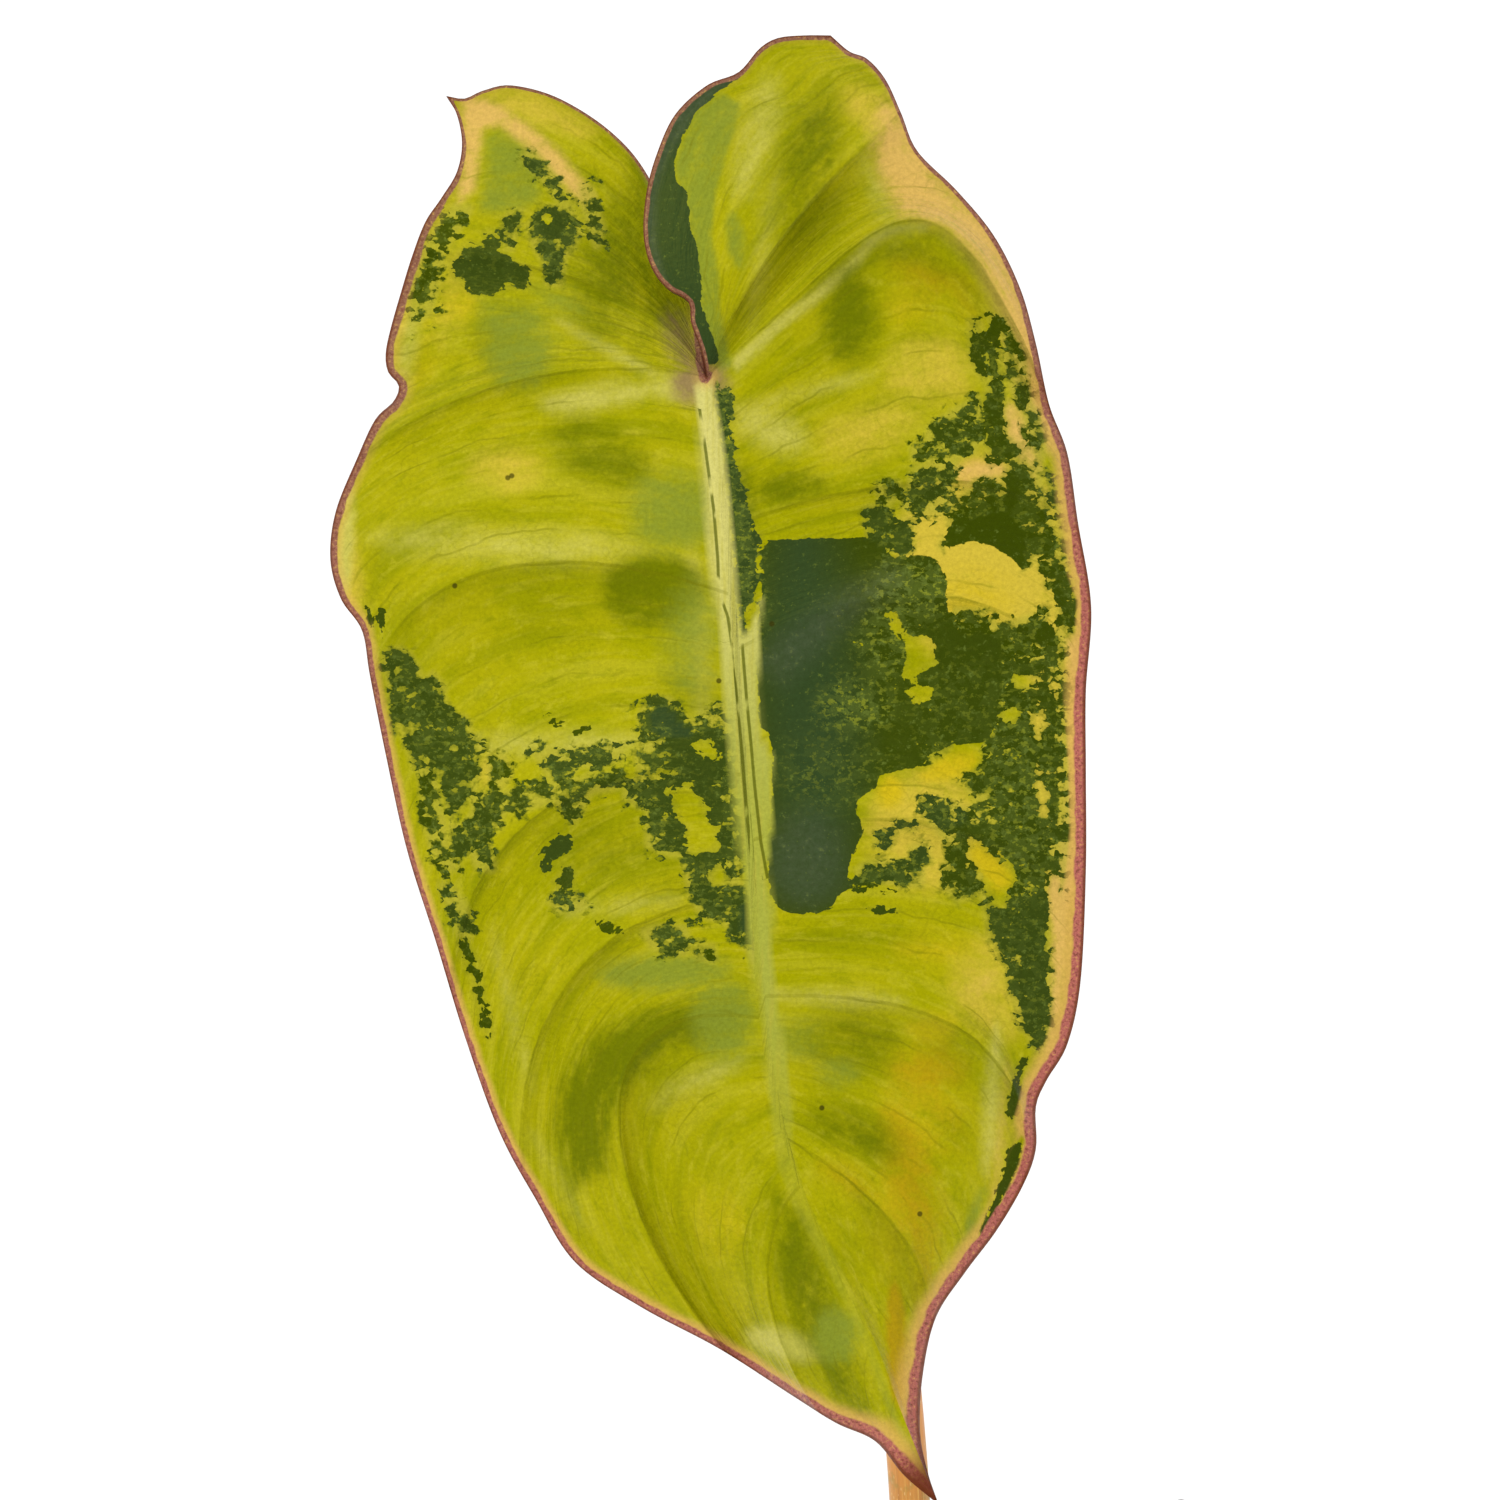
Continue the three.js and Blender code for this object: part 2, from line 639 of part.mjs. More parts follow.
function soilSolid() {
  const { top, crown } = SOIL;
  const foot = POT.floor + SEAT_GAP;
  const limit = innerRadius(top) - SEAT_GAP;
  const profile = [
    [0, foot],
    [innerRadius(foot) - SEAT_GAP, foot],
    [limit, top - 1],
    [limit * 0.6, top + crown / 2],
    [0, top + crown],
  ];
  const random = randomStream(SOIL.seed);
  let heap = solidOf(lathe(profile, 40));
  for (let i = 0; i < SOIL.bark; i++) {
    const size = SOIL.barkSize * (0.6 + 0.7 * random());
    const chip = new THREE.BoxGeometry(size, size * 0.62, size * 0.45);
    heap = heap.add(grainSolid(random, chip, size, limit));
  }
  for (let i = 0; i < SOIL.perlite; i++) {
    const size = SOIL.perliteSize * (0.7 + 0.6 * random());
    const grain = new THREE.OctahedronGeometry(size / 2, 0);
    heap = heap.add(grainSolid(random, grain, size, limit));
  }
  return cut(heap, stemSolid(SEAT_GAP), petioleSolid(LEAVES.small, SEAT_GAP));
}

// The plant

const plant = new THREE.Group();

function show(name, solid, material) {
  const mesh = new THREE.Mesh(geometryOf(solid), material);
  mesh.name = name;
  plant.add(mesh);
}

show("pot", potSolid(), MATERIALS.clay);
show("soil_bark_mix", soilSolid(), MATERIALS.soil);
show("stem_with_aerial_roots", stemSolid(), MATERIALS.stem);

// Each petiole's foot is cut to lie against the stem and against the petioles before it.
const standing = [stemSolid(SEAT_GAP)];
for (const [name, leaf] of Object.entries(LEAVES)) {
  show(`petiole_${name}`, cut(petioleSolid(leaf), ...standing), MATERIALS.petiole);
  show(`leaf_blade_${name}`, bladeSolid(leaf), MATERIALS.blade);
  standing.push(petioleSolid(leaf, SEAT_GAP));
}
show("new_leaf_sheath", cut(sheathSolid(), ...standing), MATERIALS.sheath);
show("new_leaf_rolled", cut(rolledLeafSolid(), sheathSolid(SEAT_GAP)), MATERIALS.rolledLeaf);

export default plant;
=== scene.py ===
# %% [markdown]
# # A young variegated philodendron in a clay pot
# The frame gives every solid of the plant at its true size and place: pot, bark mix, stem, three
# petioles with their blades, and the new leaf in its sheath. This lesson dresses them. Each living
# surface is grown again as a fine mesh from the same few dimensions, and each gets a finish made
# only of nodes, because a picture can't be used as a texture here.

import math
import random

import bmesh
import bpy
import numpy as np
from mathutils import Matrix, Vector
from mathutils.kdtree import KDTree


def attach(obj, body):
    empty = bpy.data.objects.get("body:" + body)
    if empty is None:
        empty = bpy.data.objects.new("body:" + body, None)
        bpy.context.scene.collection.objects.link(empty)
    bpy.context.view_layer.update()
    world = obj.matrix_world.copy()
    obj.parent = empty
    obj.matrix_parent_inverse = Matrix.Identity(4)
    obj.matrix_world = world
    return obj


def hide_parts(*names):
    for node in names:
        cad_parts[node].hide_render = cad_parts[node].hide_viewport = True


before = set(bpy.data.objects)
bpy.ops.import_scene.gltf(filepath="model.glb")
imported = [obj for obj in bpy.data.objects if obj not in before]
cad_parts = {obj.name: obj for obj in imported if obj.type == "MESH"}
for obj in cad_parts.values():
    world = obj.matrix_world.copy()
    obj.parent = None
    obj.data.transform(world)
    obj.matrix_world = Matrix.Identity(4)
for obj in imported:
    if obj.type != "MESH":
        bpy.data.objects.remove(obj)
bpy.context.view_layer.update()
MM = 0.001  # the lesson counts in millimetres, the scene in metres

# %% [markdown]
# ## The view
# The large leaf hangs square to the view, so the camera stands on a line through its blade, square
# to the blade's plane. A real lens of about 76 mm at 60 cm keeps the leaf's proportions. The leaf
# is tilted back by 15 degrees, so the camera looks down on the plant by as much.

# %% Camera
LARGE_TILT = math.radians(15)
VIEW_MIDDLE = Vector((-39.8, -118.3, 426.7))  # the blade's middle, in the middle of the picture
VIEW_DISTANCE = 600
LENS = 75.8

toward_view = Vector((0, -math.cos(LARGE_TILT), math.sin(LARGE_TILT)))
lens = bpy.data.cameras.new("view")
lens.lens = LENS
lens.clip_end = 100
camera = bpy.data.objects.new("view", lens)
camera.location = (VIEW_MIDDLE + toward_view * VIEW_DISTANCE) * MM
camera.rotation_euler = toward_view.to_track_quat("Z", "Y").to_euler()
bpy.context.scene.collection.objects.link(camera)
bpy.context.scene.camera = camera
print("camera at", [round(x, 3) for x in camera.location])

# %% [markdown]
# ## Studio light and floor
# A white room gives even light from all round. One soft sun stands in for a large softbox up to the
# left of the view: it models the hollows between the veins, and it lights a wide floor as evenly
# near the pot as far behind it. The standard view keeps strong yellows as they are.

# %% Light
ROOM_LIGHT = 0.95
SUN_LIGHT = 1.12
SUN_SOFTNESS = math.radians(38)
SUN_FROM = Vector((-0.5, -0.8, 0.95))

world = bpy.data.worlds.new("white_room")
world.use_nodes = True
room = world.node_tree.nodes["Background"]
room.inputs["Color"].default_value = (1.0, 1.0, 1.0, 1.0)
room.inputs["Strength"].default_value = ROOM_LIGHT
bpy.context.scene.world = world

sun_data = bpy.data.lights.new("softbox", "SUN")
sun_data.energy = SUN_LIGHT
sun_data.angle = SUN_SOFTNESS
sun = bpy.data.objects.new("softbox", sun_data)
sun.rotation_euler = SUN_FROM.to_track_quat("Z", "Y").to_euler()
bpy.context.scene.collection.objects.link(sun)
bpy.context.scene.view_settings.view_transform = "Standard"
print("room light", ROOM_LIGHT, "and sun", SUN_LIGHT)

# %% [markdown]
# ## How a finish is written
# A finish is a small recipe: read a place or a named field on the mesh, make blotches, compare and
# mix. These short calls add the nodes for it, so that a recipe reads as a few lines. Sizes in a
# recipe are millimetres, and colours are as seen on a screen, from 0 to 255.

# %% Recipe for a finish
def color(red, green, blue):
    """A colour as seen on a screen, as the light that a shader takes."""
    shares = [part / 255 for part in (red, green, blue)]
    light = [s / 12.92 if s <= 0.04045 else ((s + 0.055) / 1.055) ** 2.4 for s in shares]
    return (*light, 1.0)


class Finish:
    """A material, with short calls that add its nodes. Each gives the socket of its result."""

    def __init__(self, name, roughness=0.5):
        self.material = bpy.data.materials.new(name)
        self.material.use_nodes = True
        self.tree = self.material.node_tree
        self.shader = self.tree.nodes["Principled BSDF"]
        self.shader.inputs["Roughness"].default_value = roughness

    def feed(self, socket, value):
        if isinstance(value, bpy.types.NodeSocket):
            self.tree.links.new(value, socket)
        else:
            socket.default_value = value

    def add(self, kind, feeds, result=0, **settings):
        node = self.tree.nodes.new("ShaderNode" + kind)
        for name, value in settings.items():
            setattr(node, name, value)
        for place, value in feeds.items():
            self.feed(node.inputs[place], value)
        return node.outputs[result]

    def field(self, name, result=2):
        """A number kept on the mesh. Result 1 gives a vector kept there."""
        return self.add("Attribute", {}, result, attribute_name=name)

    def place(self):
        """The place on the object, in millimetres."""
        here = self.add("TexCoord", {}, 3)
        return self.stretch(here, 1 / MM, 1 / MM, 1 / MM)

    def stretch(self, vector, x, y, z):
        return self.add("VectorMath", {0: vector, 1: (x, y, z)}, operation="MULTIPLY")

    def math(self, operation, first, second=0.0, third=0.0):
        feeds = {0: first, 1: second, 2: third}
        return self.add("Math", feeds, operation=operation)

    def times(self, first, second):
        return self.math("MULTIPLY", first, second)

    def noise(self, at, size, detail=2.0, uneven=0.5):
        """Soft blotches about a size across, from 0 to 1."""
        feeds = {"Vector": at, "Scale": 1 / size, "Detail": detail, "Roughness": uneven}
        return self.add("TexNoise", feeds)

    def cells(self, at, size, result=0, **settings):
        feeds = {"Vector": at, "Scale": 1 / size}
        return self.add("TexVoronoi", feeds, result, **settings)

    def step(self, value, low, high, start=0.0, end=1.0):
        """From start to end while a value goes from low to high."""
        feeds = {0: value, 1: low, 2: high, 3: start, 4: end}
        return self.add("MapRange", feeds, interpolation_type="SMOOTHSTEP")

    def blend(self, share, first, second, way="MIX"):
        feeds = {0: share, 6: first, 7: second}
        return self.add("Mix", feeds, 2, data_type="RGBA", blend_type=way)

    def over(self, tint, tone, value, low, high, most=1.0):
        """A tone laid over a tint, from none up to the most as a value goes from low to high."""
        return self.blend(self.step(value, low, high, end=most), tint, tone)

    def relief(self, height, depth, under=None):
        """Bumps of a depth in millimetres, on top of other bumps."""
        feeds = {"Height": height, "Distance": depth * MM}
        if under:
            feeds["Normal"] = under
        return self.add("Bump", feeds)

    def done(self, tint, normal, roughness=None):
        self.feed(self.shader.inputs["Base Color"], tint)
        self.feed(self.shader.inputs["Normal"], normal)
        if roughness:
            self.feed(self.shader.inputs["Roughness"], roughness)
        return self.material


print("finishes can be written")

# %% [markdown]
# ## The floor
# A wide pale sheet stands in for the studio's paper. It is one square, made much larger than the
# view, so that no edge of it shows. It isn't part of the plant.

# %% Floor
FLOOR_HALF = 60000
paper = Finish("pale_paper", roughness=0.9)
paper_grain = paper.noise(paper.place(), 1.5, detail=3)
paper_tint = paper.blend(paper_grain, color(247, 247, 246), color(250, 250, 249))
floor_mesh = bpy.data.meshes.new("floor")
sheet = bmesh.new()
bmesh.ops.create_grid(sheet, x_segments=1, y_segments=1, size=FLOOR_HALF * MM)
sheet.to_mesh(floor_mesh)
sheet.free()
floor = bpy.data.objects.new("floor", floor_mesh)
floor_mesh.materials.append(paper.done(paper_tint, paper.relief(paper_grain, 0.02)))
bpy.context.scene.collection.objects.link(floor)
print("floor laid")

# %% [markdown]
# ## From a shape to a piece of the plant
# Each shape is made in millimetres. One helper turns it to metres, smooths its faces, hangs it on
# the plant's body, and hides the frame's parts that it stands for. The others move a shape's
# corners, and keep a number or a vector on each for the finishes to read: such fields bend with the
# surface, where a pattern in space would cut through it.

# %% Pieces and fields
def piece_from(shape, name, material, nodes, at=Matrix()):
    shape.transform(Matrix.Scale(MM, 4) @ at)
    mesh = bpy.data.meshes.new(name)
    shape.to_mesh(mesh)
    shape.free()
    mesh.polygons.foreach_set("use_smooth", [True] * len(mesh.polygons))
    mesh.materials.append(material)
    piece = bpy.data.objects.new(name, mesh)
    bpy.context.scene.collection.objects.link(piece)
    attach(piece, "root")
    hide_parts(*nodes)
    print(name, "has", len(mesh.polygons), "faces")
    return piece


def corner_places(shape):
    return np.array([vert.co for vert in shape.verts], float)


def lay_corners(shape, places, fields):
    """Every corner moved to its place, with its number or vector of each field kept on it."""
    kinds = shape.verts.layers
    layers = {}
    for name, values in fields.items():
        kind = kinds.float if np.ndim(values) == 1 else kinds.float_vector
        layers[name] = kind.new(name)
    for index, vert in enumerate(shape.verts):
        vert.co = places[index]
        for name, layer in layers.items():
            vert[layer] = fields[name][index]


def keep_fields(mesh, fields):
    """Numbers kept on a finished mesh, one for each corner."""
    for name, values in fields.items():
        attribute = mesh.attributes.new(name, "FLOAT", "POINT")
        attribute.data.foreach_set("value", np.asarray(values, np.float32))


def read_field(mesh, name):
    values = np.zeros(len(mesh.vertices), np.float32)
    mesh.attributes[name].data.foreach_get("value", values)
    return values.astype(float)


print("pieces and fields can be made")

# %% [markdown]
# ## The shape of a leaf
# A leaf of this kind has a midrib, two lobes above the point where the petiole joins, and main
# lateral veins that leave the midrib and turn up along the margin. So a place on it is best given
# along the veins: across, from -1 at the left margin through 0 at the midrib to 1 at the right one,
# and down, from 0 at the inner margin of the lobes to 8 at the tip, with a main vein at each whole
# number. The same numbers as in the frame's own leaf are repeated here, in millimetres.

# %% Outline and veins of the large leaf
LARGE_PLAN = {
    "size": 1,
    "midrib": [
        (0, 0), (3, -17.5), (5.5, -42), (7, -65), (9, -89.5), (10.5, -110.5),
        (12.5, -129.5), (16, -146.5), (22.5, -164.5), (31.5, -183), (38, -199), (44, -214),
    ],
    "inner": {
        "left": [
            (0, 0), (-1, 5.5), (-2, 11.5), (-4.5, 23), (-11, 38), (-18, 46.5),
            (-28, 53), (-37, 55.5), (-42.5, 54.5), (-46, 53), (-49.5, 53.5),
        ],
        "right": [
            (0, 0), (-0.5, 3), (-1.5, 6.5), (-3, 10.5), (-3.5, 14.5), (-7.5, 17), (-10.5, 21),
            (-12, 27), (-11.5, 35), (-9.5, 42.5), (-6, 50), (0, 55.5), (6, 58), (10, 62.5),
            (13.5, 64.5), (18.5, 65), (23.5, 65),
        ],
    },
    "outer": {
        "left": [
            (-49.5, 53.5), (-47.5, 50), (-46.5, 44.5), (-47.5, 39), (-50.5, 34), (-53.5, 29.5),
            (-56, 23), (-58, 16.5), (-60, 9.5), (-61, 4.5), (-60.5, 1), (-58.5, -1.5),
            (-59.5, -4.5), (-63, -8), (-66.5, -15.5), (-70.5, -25.5), (-71.5, -34.5),
            (-69.5, -42), (-65.5, -48), (-64, -56.5), (-61, -71.5), (-57, -89.5), (-51.5, -107),
            (-46, -125), (-39.5, -143), (-32.5, -156), (-25, -168), (-12.5, -176.5),
            (2.5, -184.5), (16.5, -193.5), (24.5, -198.5), (32, -202), (37.5, -208.5),
            (44, -214),
        ],
        "right": [
            (23.5, 65), (27, 62), (30.5, 60.5), (34, 56.5), (37, 50), (40, 43), (47.5, 35.5),
            (54.5, 27), (59.5, 17), (62.5, 6.5), (65, -5), (68.5, -14.5), (70.5, -27.5),
            (73, -43.5), (72, -59.5), (72, -74.5), (72, -93.5), (71, -114.5), (68.5, -126.5),
            (64.5, -133.5), (62.5, -138.5), (62.5, -146.5), (60, -153.5), (55, -162),
            (49, -170), (43.5, -178.5), (41, -189.5), (40.5, -200), (42, -208), (44, -214),
        ],
    },
    # Each main vein: where it leaves the midrib and meets the margin, as shares of their lengths,
    # its angle above square to the midrib, and how far it holds that line, then the margin's.
    "laterals": {
        "left": [
            (0, 0, 120, 0.4, 0), (0, 0.1, 62, 0.4, 0.05), (0, 0.235, 12, 0.4, 0.15),
            (0.19, 0.375, 20, 0.5, 0.3), (0.345, 0.56, 10, 0.5, 0.3), (0.455, 0.68, 4, 0.5, 0.28),
            (0.555, 0.845, 10, 0.68, 0.42), (0.7, 0.91, -45, 0.4, 0.2), (1, 1, -70, 0.33, 0),
        ],
        "right": [
            (0, 0, 110, 0.4, 0), (0, 0.07, 72, 0.4, 0.05), (0, 0.27, 40, 0.7, 0.85),
            (0.13, 0.36, 20, 0.45, 0.2), (0.235, 0.47, 30, 0.45, 0.35), (0.4, 0.6, 18, 0.45, 0.2),
            (0.535, 0.775, 2, 0.55, 0.38), (0.66, 0.885, -30, 0.45, 0.2), (1, 1, -65, 0.25, 0),
        ],
    },
    # How far each panel between two veins sags, from the lobe down to the tip.
    "sag": {"left": [1.5, 2.5, 3, 3.5, 3, 2.5, 5.5, 2], "right": [2, 3.5, 4.5, 2.5, 3.5, 3, 4, 2]},
    "arch": 6,
    "droop": 9,
    "lobe_lift": {"left": -5, "right": 7},
    "lobe_roll": {"left": 0, "right": 3},
    "wave": {"left": (2.2, 2.1, 0.6), "right": (1.8, 1.7, 2.4)},
    "seen_from": (8.2, -70.7, 600),
}
print("the large leaf has", len(LARGE_PLAN["midrib"]), "points on its midrib")

# %% [markdown]
# A smooth line through given points is a spline, and what a leaf needs from it is the point at a
# share of its length. It is worked out once in many small steps, and looked up after that.

# %% Splines
SPLINE_STEPS = 1200


class Line:
    """A smooth line through points, read by shares of its length."""

    def __init__(self, points):
        knots = np.array([(*point, 0.0)[:3] for point in points], float)
        ends = (2 * knots[0] - knots[1], 2 * knots[-1] - knots[-2])
        padded = np.vstack([ends[0], knots, ends[1]])
        steps = np.linspace(0, len(knots) - 1, SPLINE_STEPS + 1)
        first = np.minimum(steps.astype(int), len(knots) - 2)
        w = (steps - first)[:, None]
        before, start, end, after = (padded[first + i] for i in range(4))
        leave, arrive = (end - before) / 2, (after - start) / 2
        self.points = (2 * w**3 - 3 * w**2 + 1) * start + (w**3 - 2 * w**2 + w) * leave
        self.points += (3 * w**2 - 2 * w**3) * end + (w**3 - w**2) * arrive
        pace = np.linalg.norm(np.diff(self.points, axis=0), axis=1)
        far = np.concatenate([[0], np.cumsum(pace)])
        self.length = far[-1]
        self.shares = far / self.length

    def at(self, share):
        share = np.clip(share, 0, 1)
        return np.stack([np.interp(share, self.shares, c) for c in self.points.T], -1)

    def way(self, share):
        """The direction of the line there."""
        ahead = self.at(np.clip(share, 0, 1) + 0.001) - self.at(np.clip(share, 0, 1) - 0.001)
        return ahead / np.linalg.norm(ahead, axis=-1, keepdims=True)


large_midrib = Line(LARGE_PLAN["midrib"])
print("its midrib is", round(large_midrib.length), "mm long")

# %% [markdown]
# Each vein is a bow with two handles: it holds its first direction for a while, and then turns to
# follow the margin. A place between two veins takes numbers between theirs. In the first panel the
# rows turn from the inner margin to the first vein instead, because a bow can't have lobes in it.

# %% The leaf's plane
PANELS = 8
MARGIN_STEP = 0.02
VEIN_SWING = 0.15


def smooth(value, low, high):
    share = np.clip((value - low) / (high - low), 0, 1)
    return share * share * (3 - 2 * share)


def vein_places(plan, side, u, v):
    """Points u of the way along the veins at v."""
    numbers = np.array(plan["laterals"][side], float)
    veins = np.arange(PANELS + 1)
    leave, meet, angle, hold, follow = (np.interp(v, veins, column) for column in numbers.T)
    midrib, outer = Line(plan["midrib"]), Line(plan["outer"][side])
    start, end = midrib.at(leave), outer.at(meet)
    reach = np.linalg.norm(end - start, axis=-1, keepdims=True)
    angle = np.radians(angle)
    sign = -1 if side == "left" else 1
    out = np.stack([sign * np.cos(angle), np.sin(angle), 0 * angle], -1)
    along = outer.at(meet - MARGIN_STEP) - outer.at(meet + MARGIN_STEP)
    along /= np.linalg.norm(along, axis=-1, keepdims=True)
    first = start + out * reach * hold[:, None]
    second = end + along * reach * follow[:, None] + VEIN_SWING * (start - end)
    u = u[:, None]
    rest = 1 - u
    bow = rest**3 * start + 3 * rest**2 * u * first + 3 * rest * u**2 * second
    return bow + u**3 * end


def plan_places(plan, side, u, v):
    places = vein_places(plan, side, u, np.maximum(v, 1))
    outer, inner = Line(plan["outer"][side]), Line(plan["inner"][side])
    share = plan["laterals"][side][1][1]
    turn = np.minimum(v, 1)[:, None]
    corner, joint = outer.at(0), outer.at(share)
    bulge = outer.at(share * turn[:, 0]) - (corner + (joint - corner) * turn)
    lobe = inner.at(u) * (1 - turn) + places * turn + bulge * u[:, None]
    return np.where(v[:, None] < 1, lobe, places)


print("a vein starts at", vein_places(LARGE_PLAN, "left", np.zeros(1), np.full(1, 4.0))[0].round(1))

# %% [markdown]
# The blade isn't flat. Its ends and margins bend back, each panel between two veins sags and is
# steepest just under the upper vein, the lobes stand one before the other, and the margin waves.
# Near the tip the margins rise again to meet the midrib, so that it ends in a point. Each of these
# is a term of one height. The outline is kept as it looks from the camera, so a place that lies
# further back is spread a little.

# %% The leaf's height
SAG_SKEW = 0.65
SAG_START = 0.35
EDGE_START = 0.7
EDGE_SAG = 0.65
LOBE_SKEW = 0.7
LOBE_RETURN = (0.5, 1.6)  # in panels, as the next two: where a lobe comes back to the blade
ROLL_WIDTH = 0.35  # how much of a lobe is rolled, at its inner margin
TIP_FLATTENING = 1.2  # over how much of the tip the margins rise to meet the midrib
BLADE_MIDDLE = -74
BLADE_HALF = 140


def leaf_height(plan, side, u, v, y):
    panel = np.minimum(v.astype(int), PANELS - 1)
    lobe = np.sin(np.pi * u**LOBE_SKEW)
    height, turns, phase = plan["wave"][side]
    ends = smooth(v, 0, 1) * smooth(PANELS - v, 0, 1)
    hollow = np.sin(np.pi * (v - panel) ** SAG_SKEW) * smooth(u, 0, SAG_START)
    hollow *= 1 - (1 - EDGE_SAG) * smooth(u, EDGE_START, 1)
    droop = plan["droop"] * u**2 * (1 - smooth(v, PANELS - TIP_FLATTENING, PANELS))
    rise = -plan["arch"] * ((y - BLADE_MIDDLE) / BLADE_HALF) ** 2 - droop
    rise -= np.array(plan["sag"][side])[panel] * hollow
    rise += plan["lobe_lift"][side] * lobe * (1 - smooth(v, *LOBE_RETURN))
    rise -= plan["lobe_roll"][side] * lobe * np.maximum(0, 1 - v / ROLL_WIDTH) ** 2
    return rise + height * np.sin(2 * np.pi * turns * v / PANELS + phase) * u**3 * ends


def lifted(plan, places, rise):
    places = places.copy()
    if "seen_from" in plan:
        x, y, distance = plan["seen_from"]
        spread = (distance - rise) / distance
        places[:, 0] = x + (places[:, 0] - x) * spread
        places[:, 1] = y + (places[:, 1] - y) * spread
    places[:, 2] = rise
    return places * plan["size"]


def halves(across):
    """Each side of the leaf by name, with which places lie on it."""
    return ("left", across < 0), ("right", across >= 0)


def plan_by_side(plan, across, down):
    flat = np.zeros((len(across), 3))
    for side, here in halves(across):
        flat[here] = plan_places(plan, side, np.abs(across[here]), down[here])
    return flat


def leaf_places(plan, across, down):
    """The flat and the lifted places of points on a leaf."""
    flat = plan_by_side(plan, across, down)
    rise = np.zeros(len(across))
    for side, here in halves(across):
        rise[here] = leaf_height(plan, side, np.abs(across[here]), down[here], flat[here][:, 1])
    return flat, lifted(plan, flat, rise)


margins = plan_by_side(LARGE_PLAN, np.array([-1.0, 1.0]), np.array([4.0, 4.0]))
print("from margin to margin it is", round(float(margins[1, 0] - margins[0, 0]), 1), "mm wide")

# %% [markdown]
# ## A blade as a fine sheet
# The midrib and the margin are shaped and coloured by how far a place lies from them. That is
# measured while the leaf is still flat, to the nearest of many points on a line. Only the margin of
# a place's own side counts, because where the lobes overlap the other side's may be nearer.

# %% Distances on the flat leaf
def nearest_distance(lines, places):
    """How far each flat place lies from the nearest of some lines."""
    spots = [spot for line in lines for spot in line.points]
    tree = KDTree(len(spots))
    for index, spot in enumerate(spots):
        tree.insert(spot, index)
    tree.balance()
    return np.array([tree.find(place)[2] for place in places])


def edge_distance(plan, across, flat):
    """How far each place lies from the margin of its own side."""
    edge = np.zeros(len(flat))
    for side, here in halves(across):
        outline = [Line(plan[part][side]) for part in ("inner", "outer")]
        edge[here] = nearest_distance(outline, flat[here])
    return edge


print("the right margin is", nearest_distance([large_midrib], margins)[1].round(1), "mm from the midrib")

# %% [markdown]
# A grid is the right start: its columns become places across the leaf and its rows go down it. It
# gets its thickness while it is still flat, because that gives a clean rim all round. Only then is
# every corner laid in its place. The first rows all start at the petiole's joint and the last ends
# at the tip, so corners that meet there are merged. The back carries the main veins as ridges, and
# the rim is thinner than the middle, as on a real leaf.

# %% Sheet of a blade
GRID_THICKNESS = 0.1
THICKNESS = 0.95
RIM_START = 0.95
RIM_THINNING = 0.4
VEIN_RIDGE = 0.9
RIDGE_WIDTH = 0.05  # in panels
RIDGE_FADE = 0.85  # how much lower a ridge is at the margin
RIB_RISE = 0.45  # how far the midrib stands out on the front
RIB_HALF = 2.4
RIB_FADE = 0.75  # how much finer the midrib is at the tip
BEAD_RISE = 0.25
BEAD_WIDTH = 1.1
VEIN_NUDGE = 0.02
FINE_VEINS = 6  # in each panel


def blade_sheet(plan, rows, columns):
    """A closed sheet in the leaf's own frame, with its places kept as fields."""
    sheet = bmesh.new()
    bmesh.ops.create_grid(sheet, x_segments=2 * columns, y_segments=rows, size=1)
    bmesh.ops.solidify(sheet, geom=sheet.faces[:], thickness=GRID_THICKNESS)
    spots = corner_places(sheet)
    across = spots[:, 0].clip(-1, 1)
    down = ((1 - spots[:, 1]) / 2 * PANELS).clip(0, PANELS)
    under = spots[:, 2] < -GRID_THICKNESS / 2

    flat, places = leaf_places(plan, across, down)
    size = plan["size"]
    edge = edge_distance(plan, across, flat) * size
    rib = nearest_distance([Line(plan["midrib"])], flat) * size
    u = np.abs(across)
    thinning = 1 - RIM_THINNING * smooth(u, RIM_START, 1)
    off_vein = (down - np.round(down)) / RIDGE_WIDTH
    ridge = VEIN_RIDGE * (1 - RIDGE_FADE * u) * np.exp(-(off_vein**2)) * smooth(u, 0, 0.02)
    taper = size * (1 - RIB_FADE * smooth(down, 2, PANELS))
    bulge = RIB_RISE * taper * np.exp(-((rib / (RIB_HALF * taper)) ** 2))
    bulge += BEAD_RISE * size * np.exp(-((edge / BEAD_WIDTH) ** 2))
    places[:, 2] += np.where(under, -(THICKNESS * thinning + ridge), bulge)

    fields = {"across": across, "down": down, "under": under, "edge": edge, "rib": rib}
    fields |= {"flat_x": flat[:, 0] * size, "flat_y": flat[:, 1] * size}
    later = plan_by_side(plan, across, (down + VEIN_NUDGE).clip(0, PANELS))
    sooner = plan_by_side(plan, across, (down - VEIN_NUDGE).clip(0, PANELS))
    panel_width = size * np.linalg.norm(later - sooner, axis=-1) / (2 * VEIN_NUDGE)
    for name, many in (("vein", 1), ("fine_vein", FINE_VEINS)):
        fields[name] = np.sin(np.pi * many * down) * panel_width / (np.pi * many)
    lay_corners(sheet, places, fields)
    bmesh.ops.remove_doubles(sheet, verts=sheet.verts[:], dist=0.01)
    return sheet


print("blades can be grown")
